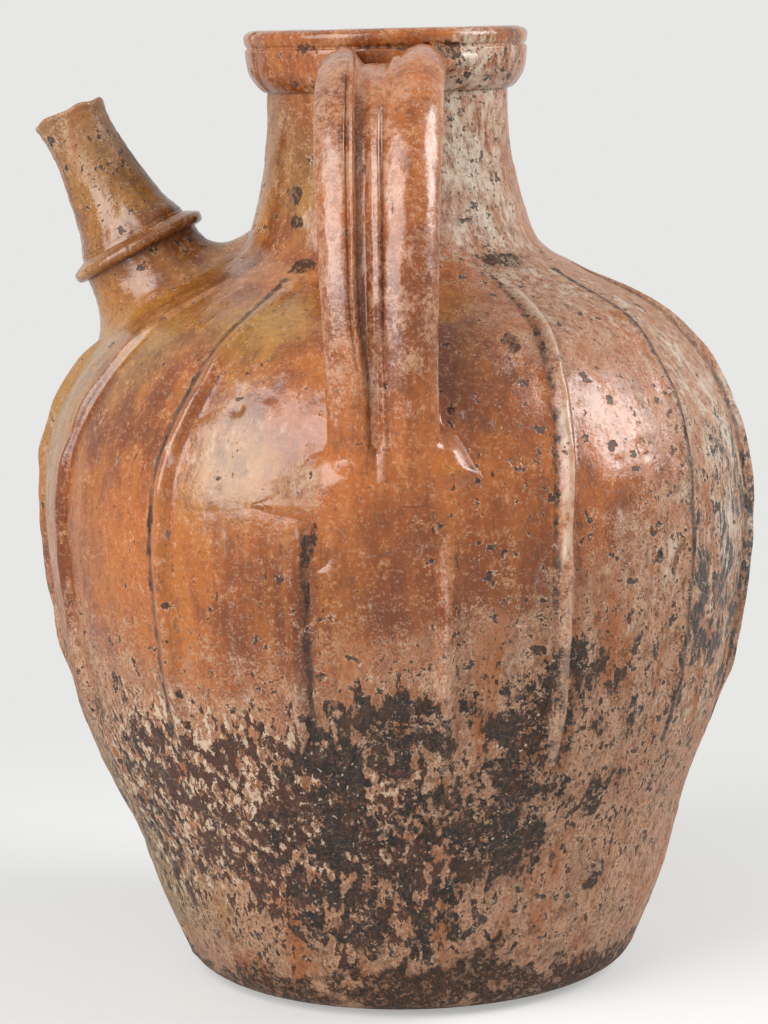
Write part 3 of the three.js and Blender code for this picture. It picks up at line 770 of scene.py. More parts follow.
@dataclass(frozen=True)
class GlazedClay:
    """Old lead glaze on terracotta: glossy orange, run, pitted, flaked and scorched.

    Attributes:
        name: The material's name.
        deep: Thick glaze.
        bright: Thin clear glaze over orange clay.
        amber: Runs in the glaze.
        honey: Pale mottling.
        umber: Brown mottling, also the brown of dirt and of painted shade in crevices.
        olive: Glaze that ran green.
        skin: Clay whose gloss has gone.
        dusty: The same, rubbed paler; on the handle's rolls partly a painted sheen.
        tan: Worn clay on the lower wall.
        khaki: The same, stained green.
        peat: Brown stains on the worn clay.
        straw: Pale stains on it.
        rust: Runs down the worn clay.
        cream: Bare clay in the chips, also the pale flecks, which are partly painted glints.
        milky: Whitish bloom, partly a painted reflection.
        maroon: Dark glaze left in islands.
        crust: Black crust, also the black of dirt and of painted shade in crevices.
        bark: Brown in the crust.
        slate: The same, under a bloom.
        gloss: Roughness of whole glaze.
        ior: Index of refraction of the glaze.
        relief: Depth of the relief.
    """

    name: str
    deep: Colour = (0.14, 0.03, 0.004)
    bright: Colour = (0.36, 0.098, 0.016)
    amber: Colour = (0.3, 0.1, 0.012)
    honey: Colour = (0.46, 0.19, 0.05)
    umber: Colour = (0.085, 0.03, 0.012)
    olive: Colour = (0.3, 0.16, 0.03)
    skin: Colour = (0.31, 0.145, 0.078)
    dusty: Colour = (0.44, 0.26, 0.17)
    tan: Colour = (0.38, 0.222, 0.138)
    khaki: Colour = (0.25, 0.165, 0.075)
    peat: Colour = (0.16, 0.078, 0.04)
    straw: Colour = (0.44, 0.3, 0.19)
    rust: Colour = (0.27, 0.085, 0.022)
    cream: Colour = (0.5, 0.385, 0.28)
    milky: Colour = (0.52, 0.44, 0.35)
    maroon: Colour = (0.04, 0.016, 0.011)
    crust: Colour = (0.02, 0.0185, 0.017)
    bark: Colour = (0.066, 0.042, 0.03)
    slate: Colour = (0.075, 0.076, 0.078)
    gloss: float = 0.13
    ior: float = 1.53
    relief: float = 0.0009

    def material(self) -> bpy.types.Material:
        """Builds the material, layer by layer.

        Returns:
            The material.
        """
        w = Finish(self.name)
        w.shader.inputs["IOR"].default_value = self.ior
        g = Grains(w)
        green = w.step(w.plus(w.wear(Wear.OLIVE), w.times(g.runs, 0.7)), 0.5, 1.2)
        coat = self.whole_glaze(w, g, green)
        self.worn_ground(coat, g, green)
        self.bloom_and_sheen(coat, g)
        self.chips_and_isles(coat, g)
        self.black_crust(coat, g)
        self.rib_dirt_and_shade(coat, g)
        self.pits(coat, g)
        self.flecks(coat, g)
        self.pale_crests_and_dark_crevices(coat, g)
        return coat.finish(self.relief)

    def whole_glaze(self, w: Finish, g: Grains, green: Socket) -> Coat:
        """Starts with the glossy glaze, run and mottled.

        Args:
            w: The material's nodes.
            g: The noises.
            green: Where it ran green.

        Returns:
            The surface.
        """
        flow = w.plus(w.times(g.clouds, 0.55), w.times(g.runs, 0.45))
        thin = w.math("SUBTRACT", flow, w.times(w.wear(Wear.THICK), 0.16))
        glaze = w.blend(w.step(thin, 0.34, 0.62), self.deep, self.bright)
        relief = w.plus(w.times(g.lumps, 0.5), w.plus(w.times(g.grain, 0.2), w.times(g.combed, 0.06)))
        shine = w.between(w.step(g.patchy, 0.42, 0.62), self.gloss, self.gloss * 2.2)
        coat = Coat(w, glaze, shine, relief)
        coat.lay(w.times(w.step(g.runs, 0.45, 0.75), 0.6), self.amber, self.gloss)
        coat.lay(w.times(green, 0.8), self.olive, self.gloss)
        mottling = (
            (g.grain, g.lumps, 1.02, 1.28, 0.4, self.honey, 0.22),
            (g.crumbs, g.lumps, 0.97, 0.75, 0.45, self.umber, 0.2),
            (g.grain, g.fine, 1.02, 1.25, 0.3, self.dusty, 0.3),
            (g.combed, g.fine, 0.96, 0.76, 0.3, self.umber, 0.25),
        )
        for first, second, none, full, strength, colour, roughness in mottling:
            spots = w.step(w.plus(first, second), none, full)
            coat.lay(w.times(spots, strength), colour, roughness)
        return coat

    def worn_ground(self, coat: Coat, g: Grains, green: Socket) -> None:
        """Lays the matt ground where the gloss has gone, stained and rough.

        Args:
            coat: The surface so far.
            g: The noises.
            green: Where it is stained green.
        """
        w = coat.wiring
        worn = w.step(w.plus(w.wear(Wear.DULL), g.mottle), 0.6, 0.84)
        ground = w.blend(w.step(w.plus(g.crumbs, g.fine), 0.82, 1.17), self.skin, self.tan)
        coat.lay(worn, w.blend(green, ground, self.khaki), 0.55, 0.0, 0.3)
        stale = w.step(w.plus(g.patchy, w.scaled(g.grain, -0.3, 0.3)), 0.47, 0.62)
        coat.lay(w.times(w.times(worn, stale), 0.6), self.peat, 0.5, -0.1, 0.3)
        light = w.step(w.plus(g.lumps, g.fine), 1.03, 1.2)
        coat.lay(w.times(worn, w.times(light, 0.55)), self.straw, 0.6, 0.1, 0.3)
        coat.lay(w.times(worn, w.step(g.runs, 0.5, 0.7)), self.rust, 0.5, 0.0, 0.3)
        dark = w.step(w.plus(g.grain, g.crumbs), 1.0, 0.76)
        coat.lay(w.times(worn, w.times(dark, 0.75)), self.umber, 0.55, -0.1, 0.3)
        coat.roughen(worn, w.plus(w.times(g.crumbs, 1.6), w.times(g.grain, 0.9)), 1.25)

    def bloom_and_sheen(self, coat: Coat, g: Grains) -> None:
        """Lays the whitish bloom, which is partly a painted reflection of the lights.

        Args:
            coat: The surface so far.
            g: The noises.
        """
        w = coat.wiring
        blots = w.plus(w.times(g.patchy, 2.2), w.scaled(g.crumbs, -0.8, 0.6))
        bloom_and_sheen = w.step(w.plus(blots, w.times(w.wear(Wear.BLOOM_AND_SHEEN), 0.8)), 1.28, 1.95)
        # Whitish bloom, partly a painted reflection of the lights.
        coat.lay(w.times(bloom_and_sheen, 0.75), self.milky, 0.4)

    def chips_and_isles(self, coat: Coat, g: Grains) -> None:
        """Chips the surface down to pale clay, and leaves dark glaze in islands.

        Args:
            coat: The surface so far.
            g: The noises.
        """
        w = coat.wiring
        bare = w.step(w.plus(w.wear(Wear.FLAKE), w.scaled(g.patchy, -0.5, 0.5)), 0.15, 0.45)
        chips = w.plus(w.noise(g.tall, 370.0, 4.0, 0.6), w.times(w.wear(Wear.FLAKE), 0.06))
        coat.lay(w.times(w.times(w.step(chips, 0.555, 0.585), bare), 0.8), self.cream, 0.85, -0.15, 0.2)
        isles = w.plus(g.crumbs, w.scaled(g.lumps, -0.25, 0.25))
        isles = w.plus(isles, w.times(w.wear(Wear.ISLE), 0.42))
        brown = w.blend(w.step(g.fine, 0.42, 0.62), self.maroon, self.umber)
        coat.lay(w.step(isles, 0.7, 0.725), brown, 0.4, 0.25, 0.3)

    def black_crust(self, coat: Coat, g: Grains) -> None:
        """Lays the black crust, broken by flecks of the ground.

        Args:
            coat: The surface so far.
            g: The noises.
        """
        w = coat.wiring
        char = w.plus(w.times(w.noise(g.tall, 125.0, 4.0, 0.55), 0.6), w.times(g.crumbs, 0.5))
        burnt = w.plus(char, w.times(w.wear(Wear.SCORCH), 0.47))
        soot = w.blend(w.step(w.plus(g.grain, g.fine), 0.94, 1.16), self.crust, self.bark)
        soot = w.blend(w.times(w.step(g.patchy, 0.5, 0.58), 0.4), soot, self.umber)
        soot = w.blend(w.wear(Wear.BLOOM_AND_SHEEN), soot, self.slate)
        black = w.times(w.step(burnt, 0.725, 0.775), w.scaled(g.broken, 0.15, 0.95))
        coat.lay(black, soot, 0.5, 0.35, 0.15)
        coat.roughen(black, w.times(g.grain, 2.4), 1.2)

    def rib_dirt_and_shade(self, coat: Coat, g: Grains) -> None:
        """Draws the dirt and the painted shade along the ribs.

        Args:
            coat: The surface so far.
            g: The noises.
        """
        w = coat.wiring
        # Dirt and painted shade along the ribs' steep sides.
        seam = w.step(w.plus(g.crumbs, w.times(w.wear(Wear.SEAM), 0.55)), 0.74, 0.98)
        dirt = w.blend(w.step(g.grain, 0.45, 0.6), self.crust, self.umber)
        coat.lay(w.times(seam, 0.85), dirt, 0.5, -0.2, 0.3)

    def pits(self, coat: Coat, g: Grains) -> None:
        """Sinks ragged dark pits, many small ones and a few larger ones with broken pale lips.

        Args:
            coat: The surface so far.
            g: The noises.
        """
        w = coat.wiring
        dark = w.blend(w.step(g.fine, 0.4, 0.75), self.crust, self.umber)
        small = w.plus(w.noise(g.place, 430.0, 4.0, 0.6), w.times(w.wear(Wear.SPECK), 0.1))
        coat.lay(w.times(w.step(small, 0.69, 0.72), 0.9), dark, 0.5, -0.5, 0.3)
        for scale, shake, share, most in ((200.0, 0.008, 0.46, 0.42), (105.0, 0.012, 0.38, 0.3)):
            reach, lot = w.cells(w.shaken(g.place, 1.5 * scale, shake), scale)
            chosen = w.math("LESS_THAN", lot[0], w.times(w.wear(Wear.SPECK), share))
            size = w.scaled(w.math("POWER", lot[1], 1.3), 0.1, most)
            reach = w.math("DIVIDE", reach, size)
            lip = w.times(w.times(chosen, w.step(reach, 1.6, 1.2)), w.step(g.fine, 0.5, 0.62))
            coat.lay(w.times(lip, 0.5), self.cream, 0.6)
            coat.lay(w.times(w.times(chosen, w.step(reach, 1.1, 0.7)), 0.92), dark, 0.5, -0.6, 0.3)

    def flecks(self, coat: Coat, g: Grains) -> None:
        """Strews fine pale and dark flecks; the pale ones are partly painted glints.

        Args:
            coat: The surface so far.
            g: The noises.
        """
        w = coat.wiring
        reach, lot = w.cells(w.shaken(g.place, 500.0, 0.003), 520.0)
        small = w.step(reach, 0.4, 0.25)
        # Pale flecks: partly bits of pale clay, partly painted glints, most of them on the crust.
        pale = w.times(w.math("GREATER_THAN", lot[0], 0.94), w.scaled(w.wear(Wear.SCORCH), 0.15, 1.1))
        dark = w.times(w.math("LESS_THAN", lot[1], 0.06), 0.75)
        coat.lay(w.times(small, pale), self.cream, 0.5)
        coat.lay(w.times(small, dark), self.umber, 0.4)

    def pale_crests_and_dark_crevices(self, coat: Coat, g: Grains) -> None:
        """Rubs the crests pale, partly as painted sheen on the handle's rolls, gathers dirt in the
        crevices, with painted shade in some of them, and darkens the foot.

        Args:
            coat: The surface so far.
            g: The noises.
        """
        w = coat.wiring
        # Pale rubbing on crests, partly a painted sheen on the handle's rolls.
        rub = w.step(w.plus(g.mottle, w.times(w.wear(Wear.RUB), 0.25)), 0.56, 0.7)
        coat.lay(w.times(rub, w.scaled(g.patchy, 0.1, 0.9)), self.dusty, 0.22)
        # Dirt in crevices and at the foot, with painted shade where the grime lies in hollows, in the
        # handle's groove and beside the ribs.
        broad = w.plus(w.plus(w.times(g.lumps, 2.2), w.scaled(g.crumbs, -0.8, 0.6)), w.times(g.clouds, 1.4))
        grime = w.step(w.plus(broad, w.times(w.wear(Wear.GRIME), 1.1)), 2.42, 2.68)
        dirt = w.blend(w.step(g.fine, 0.46, 0.62), self.crust, self.umber)
        coat.lay(w.times(grime, w.scaled(g.broken, 0.5, 0.94)), dirt, 0.6, -0.3, 0.12)


@dataclass(frozen=True)
class BareClay:
    """Unglazed terracotta, dusty and stained.

    Attributes:
        name: The material's name.
        clay: Clean fired clay.
        stain: Old stains.
        dust: Pale dust.
        soil: Dirt on the foot.
        relief: Depth of the relief.
    """

    name: str
    clay: Colour = (0.34, 0.17, 0.1)
    stain: Colour = (0.1, 0.06, 0.042)
    dust: Colour = (0.46, 0.34, 0.25)
    soil: Colour = (0.05, 0.036, 0.026)
    relief: float = 0.0005

    def material(self) -> bpy.types.Material:
        """Builds the material.

        Returns:
            The material.
        """
        w = Finish(self.name)
        place = w.place()
        clouds = w.noise(place, 24.0, 6.0, 0.6)
        grain = w.noise(place, 520.0, 4.0, 0.65)
        coat = Coat(w, w.blend(w.step(clouds, 0.4, 0.62), self.stain, self.clay), 0.85, grain)
        coat.lay(w.times(w.step(grain, 0.5, 0.7), 0.5), self.dust, 0.9, 0.0, 0.2)
        grime = w.step(w.plus(w.wear(Wear.GRIME), w.scaled(clouds, -0.5, 0.5)), 0.3, 0.75)
        coat.lay(w.times(grime, 0.85), self.soil, 0.7)
        return coat.finish(self.relief)


def add_object(name: str, data: bpy.types.ID) -> bpy.types.Object:
    """Puts an object into the scene.

    Args:
        name: Its name.
        data: Its mesh, light or camera.

    Returns:
        The object.
    """
    made = bpy.data.objects.new(name, data)
    bpy.context.scene.collection.objects.link(made)
    return made


def wear_layers(clay: Shape, *kinds: Wear) -> list[Layer]:
    """Adds a layer for each kind of wear that a piece has of its own."""
    return [clay.verts.layers.float.new(kind.value) for kind in kinds]


@dataclass
class Workshop:
    """Turns shaped clay into dressed pieces of the pitcher.

    Attributes:
        form: The wall that the pieces are set on.
        weathering: The wear that they share.
        finishes: The material for each slot.
    """

    form: WallForm
    weathering: Weathering
    finishes: dict[Slot, bpy.types.Material]

    def publish(
        self,
        clay: Shape,
        node: str,
        slot: Slot,
        crease: float = 50.0,
        second: Slot = Slot.BARE_CLAY,
    ) -> bpy.types.Object:
        """Makes a piece of shaped clay an object that stands for a solid.

        Args:
            clay: The shape, which is used up.
            node: The solid that the piece stands for.
            slot: The material slot that it takes its finish from.
            crease: Angle over which an edge stays sharp, in degrees.
            second: Finish of the faces with the second material.

        Returns:
            The piece.
        """
        name = f"clay_{node}"
        mesh = bpy.data.meshes.new(name)
        clay.to_mesh(mesh)
        clay.free()
        mesh.shade_smooth()
        mesh.set_sharp_from_angle(angle=math.radians(crease))
        self.stain(mesh)
        mesh.materials.append(self.finishes[slot])
        mesh.materials.append(self.finishes[second])
        piece = add_object(name, mesh)
        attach(piece, "root")
        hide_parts(node)
        LOG.info("%s: %d faces", name, len(mesh.polygons))
        return piece

    def stain(self, mesh: bpy.types.Mesh) -> None:
        """Writes the shared wear onto a mesh, over what the piece has of its own.

        Args:
            mesh: The piece's mesh.
        """
        count = len(mesh.vertices)
        points = np.empty(count * 3, np.float32)
        mesh.vertices.foreach_get("co", points)
        for kind, strength in self.weathering.fields(points.reshape(-1, 3).astype(float)).items():
            own = np.zeros(count, np.float32)
            layer = mesh.attributes.get(kind.value)
            if layer:
                layer.data.foreach_get("value", own)
            else:
                layer = mesh.attributes.new(kind.value, "FLOAT", "POINT")
            layer.data.foreach_set("value", np.clip(strength + own, 0.0, 1.0).astype(np.float32))


def turn_profile(profile: Sequence[Pair], segments: int) -> Shape:
    """Turns a closed profile about Z, by rolling a grid up both ways.

    Args:
        profile: Points of the profile, as (radius, height), in order round it.
        segments: Steps in the full turn.

    Returns:
        The closed shape, with its normals outwards.
    """
    clay = bmesh.new()
    rows = len(profile)
    bmesh.ops.create_grid(clay, x_segments=segments, y_segments=rows, size=1.0)
    for vertex in clay.verts:
        radius, height = profile[round((vertex.co.y + 1.0) / 2.0 * rows) % rows]
        angle = round((vertex.co.x + 1.0) / 2.0 * segments) % segments * ROUND / segments
        vertex.co = (radius * math.cos(angle), radius * math.sin(angle), height)
    bmesh.ops.remove_doubles(clay, verts=clay.verts[:], dist=MERGE)
    bmesh.ops.recalc_face_normals(clay, faces=clay.faces[:])
    return clay


def lay_strip(columns: int, rows: int, front: Surface, back: Surface) -> Shape:
    """Makes a closed strip of clay between a front and a back.

    Args:
        columns: Faces across.
        rows: Faces along.
        front: Place of the front at shares across and along, each from -1 to 1.
        back: The same for the back.

    Returns:
        The shape, with its normals outwards.
    """
    clay = bmesh.new()
    bmesh.ops.create_grid(clay, x_segments=columns, y_segments=rows, size=1.0)
    lower = clay.verts[:]
    made = bmesh.ops.extrude_face_region(clay, geom=clay.faces[:], use_keep_orig=True)["geom"]
    upper = [item for item in made if isinstance(item, bmesh.types.BMVert)]
    for vertex in upper:
        vertex.co = front(vertex.co.x, vertex.co.y)
    for vertex in lower:
        vertex.co = back(vertex.co.x, vertex.co.y)
    bmesh.ops.recalc_face_normals(clay, faces=clay.faces[:])
    return clay


def draw_bar(sections: Sequence[Sequence[Vector]]) -> Shape:
    """Draws a bar out through sections, ring by ring.

    Args:
        sections: The rings' points, as many in each.

    Returns:
        The closed shape, with its normals outwards.
    """
    clay = bmesh.new()
    ring = bmesh.ops.create_circle(clay, cap_ends=False, segments=len(sections[0]), radius=1.0)["verts"]
    for vertex, point in zip(ring, sections[0]):
        vertex.co = point
    edges = clay.edges[:]
    for section in sections[1:]:
        made = bmesh.ops.extrude_edge_only(clay, edges=edges)["geom"]
        ring = [item for item in made if isinstance(item, bmesh.types.BMVert)]
        edges = [item for item in made if isinstance(item, bmesh.types.BMEdge) and item.is_boundary]
        for vertex, point in zip(ring, section):
            vertex.co = point
    bmesh.ops.holes_fill(clay, edges=[edge for edge in clay.edges if edge.is_boundary], sides=0)
    bmesh.ops.recalc_face_normals(clay, faces=clay.faces[:])
    return clay


@dataclass
class Body:
    """The thrown wall: base, lower and upper body, and neck.

    Attributes:
        workshop: Where the pieces are finished.
        foot_radius: Radius of the flat foot.
        base_thickness: Thickness of the base slab.
        seam: Height at which the upper half is luted on.
        flake_depth: How far the wall is sunk where the glaze came off.
        crust_depth: How far the black crust stands out.
        pit_count: Blisters in the glaze, on a wall of half the pitcher's height.
        pit_sizes: Radius of the smallest and of the largest one.
        pit_depth: Depth of the largest one.
        hollows: Deep hollows, as azimuth, height, size and depth.
    """

    workshop: Workshop
    foot_radius: float = 0.079
    base_thickness: float = 0.011
    seam: float = 0.131
    flake_depth: float = 0.0005
    crust_depth: float = 0.0005
    pit_count: int = 260
    pit_sizes: Pair = (0.0016, 0.004)
    pit_depth: float = 0.0009
    hollows: tuple[tuple[float, float, float, float], ...] = (
        (-10.8, 0.218, 0.007, 0.0026),
        (-10.2, 0.21, 0.006, 0.0016),
        (10.6, 0.265, 0.006, 0.0026),
    )

    def build(self) -> None:
        """Builds all four pieces."""
        form = self.workshop.form
        self.base_slab()
        self.ring("lower_body", self.base_thickness, self.seam, 72, 500, Slot.WORN_GLAZE)
        self.ring("upper_body", self.seam, form.neck_joint, 142, 580, Slot.GLAZE)
        self.ring("neck", form.neck_joint, form.neck_top, 70, 260, Slot.GLAZE)

    def base_slab(self) -> None:
        """Builds the slab under the wall, with its softly rounded edge."""
        form = self.workshop.form
        heel = form.radius(self.base_thickness)
        edge = smooth_path(
            (
                (self.foot_radius, 0.0),
                (lerp(self.foot_radius, heel, 0.5), 0.0018),
                (lerp(self.foot_radius, heel, 0.82), 0.0056),
                (heel, self.base_thickness),
            ),
            5,
        )
        levels = [self.foot_radius * share for share in (0.0, 0.25, 0.5, 0.75)]
        bottom = [(radius, 0.0) for radius in levels]
        top = [(radius, self.base_thickness) for radius in reversed(levels)]
        clay = turn_profile([*bottom, *edge, *top], 360)
        for face in clay.faces:
            if 0.0 < face.calc_center_median().z < self.base_thickness:
                face.material_index = 1
        for vertex in clay.verts:
            vertex.co += form.stray(azimuth_of(vertex.co), vertex.co.z)
        self.workshop.publish(clay, "base_slab", Slot.BARE_CLAY, second=Slot.WORN_GLAZE)

    def levels(self, low: float, high: float, count: int) -> list[float]:
        """Spaces levels evenly along the wall's outside.

        Args:
            low: The lowest level.
            high: The highest level.
            count: Spans between them.

        Returns:
            The heights, with both ends.
        """
        form = self.workshop.form
        fine = np.linspace(low, high, 600)
        radii = np.array([form.radius(height) for height in fine])
        run = np.concatenate(([0.0], np.cumsum(np.hypot(np.diff(radii), np.diff(fine)))))
        return list(np.interp(np.linspace(0.0, run[-1], count + 1), run, fine))

    def ring(self, node: str, low: float, high: float, rows: int, segments: int, slot: Slot) -> None:
        """Builds one ring of the wall.

        Args:
            node: The solid that it stands for.
            low: Height of its foot.
            high: Height of its top.
            rows: Rows of faces on the outside.
            segments: Steps round it.
            slot: Its material slot.
        """
        form = self.workshop.form
        inner_rows = max(8, rows // 9)
        outer = [(form.radius(height), height) for height in self.levels(low, high, rows)]
        inner = [(form.inner_radius(height), height) for height in self.levels(low, high, inner_rows)]
        clay = turn_profile([*outer, *reversed(inner)], segments)
        middle = form.thickness / 2
        outside: list[bmesh.types.BMVert] = []
        for vertex in clay.verts:
            azimuth, height = azimuth_of(vertex.co), vertex.co.z
            if math.hypot(vertex.co.x, vertex.co.y) > form.radius(height) - middle:
                outside.append(vertex)
            vertex.co += form.stray(azimuth, height)
        for face in clay.faces:
            centre = face.calc_center_median()
            if math.hypot(centre.x, centre.y) < form.radius(centre.z) - middle:
                face.material_index = 1
        self.flake_off(outside)
        self.pit(outside, low, high)
        self.workshop.publish(clay, node, slot, crease=70.0)

    def flake_off(self, outside: Sequence[bmesh.types.BMVert]) -> None:
        """Sinks the outside a little where the glaze has flaked off, and raises it under the crust.

        Args:
            outside: Vertices of the wall's outside.
        """
        points = np.array([vertex.co[:] for vertex in outside])
        wear = self.workshop.weathering.fields(points)
        for vertex, flake, scorch in zip(outside, wear[Wear.FLAKE], wear[Wear.SCORCH]):
            spot = vertex.co * 150.0
            crumble = noise.fractal(spot, 0.8, 2.1, 3)
            loss = smoothstep(0.1, 0.5, crumble + 0.9 * flake - 0.35) * self.flake_depth
            crust = smoothstep(0.05, 0.5, noise.noise(spot * 0.5) + scorch - 0.2) * self.crust_depth
            vertex.co += outward(azimuth_of(vertex.co)) * (crust - loss)

    def pit(self, outside: Sequence[bmesh.types.BMVert], low: float, high: float) -> None:
        """Sinks small blisters and chips into the outside.

        Args:
            outside: Vertices of a ring's outside.
            low: Height of the ring's foot.
            high: Height of its top.
        """
        form = self.workshop.form
        least, most = self.pit_sizes
        lots = random.Random(round(low * 1000))
        tree = kdtree.KDTree(len(outside))
        for index, vertex in enumerate(outside):
            tree.insert(vertex.co, index)
        tree.balance()
        spots = [spot for spot in self.hollows if low < spot[1] < high]
        for _ in range(round(self.pit_count * (high - low) / form.rim_top * 2)):
            azimuth = lots.uniform(-180.0, 180.0)
            height = lots.uniform(low + most, high - most)
            size = lerp(least, most, lots.random() ** 3)
            spots.append((azimuth, height, size, self.pit_depth * size / most))
        for azimuth, height, size, depth in spots:
            for _, index, distance in tree.find_range(form.place(azimuth, height), size):
                sunk = depth * (1.0 - smoothstep(0.2, 1.0, distance / size))
                outside[index].co -= form.normal(azimuth, height) * sunk


@dataclass
class RimBand:
    """The strip of clay rolled over the neck's edge, lapped at one place.

    Attributes:
        workshop: Where the piece is finished.
        foot: Height of its underside.
        mouth: Radius of the mouth.
        skirt: Inner radius of the part that hangs outside the neck.
        groove: How far the groove under its bead lies below the top.
        lap_azimuth: Where the ends lap.
        lap_step: How far the upper end stands out.
        crack_width: Width of the crack between them.
        crack_depth: Depth of the crack.
    """

    workshop: Workshop
    foot: float = 0.3933
    mouth: float = 0.045
    skirt: float = 0.0533
    groove: float = 0.0078
    lap_azimuth: float = -67.0
    lap_step: float = 0.0006
    crack_width: float = 0.0016
    crack_depth: float = 0.0022

    def build(self) -> None:
        """Builds the band."""
        form = self.workshop.form
        top, radius = form.rim_top, form.rim_radius
        outer = smooth_path(
            (
                (self.skirt, self.foot),
                (radius - 0.0076, self.foot + 0.0002),
                (radius - 0.0042, self.foot + 0.0038),
                (radius - 0.0016, self.foot + 0.0088),
                (radius - 0.0004, top - 0.0096),
                (radius - 0.0014, top - self.groove),
                (radius - 0.0004, top - 0.0058),
                (radius - 0.0002, top - 0.0024),
                (radius - 0.003, top - 0.0002),
                (lerp(self.mouth, radius, 0.45), top),
                (self.mouth + 0.0022, top - 0.0012),
                (self.mouth, top - 0.0048),
                (self.mouth, form.neck_top),
            ),
            5,
        )
        clay = turn_profile([*outer, (self.skirt, form.neck_top)], 440)
        rub, grime = wear_layers(clay, Wear.RUB, Wear.GRIME)
        for vertex in clay.verts:
            self.shape(vertex, rub, grime)
        self.workshop.publish(clay, "rim_band", Slot.GLAZE)

    def shape(self, vertex: bmesh.types.BMVert, rub: Layer, grime: Layer) -> None:
        """Gives one point of the band its unevenness and its wear.

        Args:
            vertex: The point.
            rub: Layer for rubbed edges.
            grime: Layer for dirt in crevices.
        """
        form = self.workshop.form
        top, radius = form.rim_top, form.rim_radius
        azimuth, height = azimuth_of(vertex.co), vertex.co.z
        out = outward(azimuth)
        distance = math.hypot(vertex.co.x, vertex.co.y)
        face = smoothstep(self.skirt, radius - 0.003, distance)
        spot = Vector((out.x * 2.2, out.y * 2.2, height * 30.0))
        swell = 0.0007 * noise.noise(spot) + 0.0003 * noise.noise(spot * 3.0)
        below = 1.0 - smoothstep(self.foot, self.foot + 0.009, height)
        ragged = 0.0016 * noise.noise(out * 4.0) + 0.0008 * noise.noise(out * 11.0)
        turn = half_circle_turn(azimuth - self.lap_azimuth)
        sideways = abs(math.radians(turn) * radius + 0.05 * (height - top))
        crack = 1.0 - smoothstep(0.2 * self.crack_width, self.crack_width, sideways)
        step = self.lap_step * smoothstep(0.012, 0.0, math.radians(abs(turn)) * radius) if turn < 0 else 0.0
        vertex.co += out * face * (swell + step - crack * self.crack_depth)
        worn = 0.0004 * smoothstep(top - 0.002, top, height) * abs(noise.noise(spot * 1.7))
        vertex.co.z += face * below * ragged - worn
        groove = 1.0 - smoothstep(0.0, 0.0022, abs(height - (top - self.groove)))
        vertex[grime] = min(1.0, face * max(crack, 0.55 * below, 0.3 * groove))
        vertex[rub] = 0.35 * smoothstep(top - 0.004, top - 0.0006, height) * face


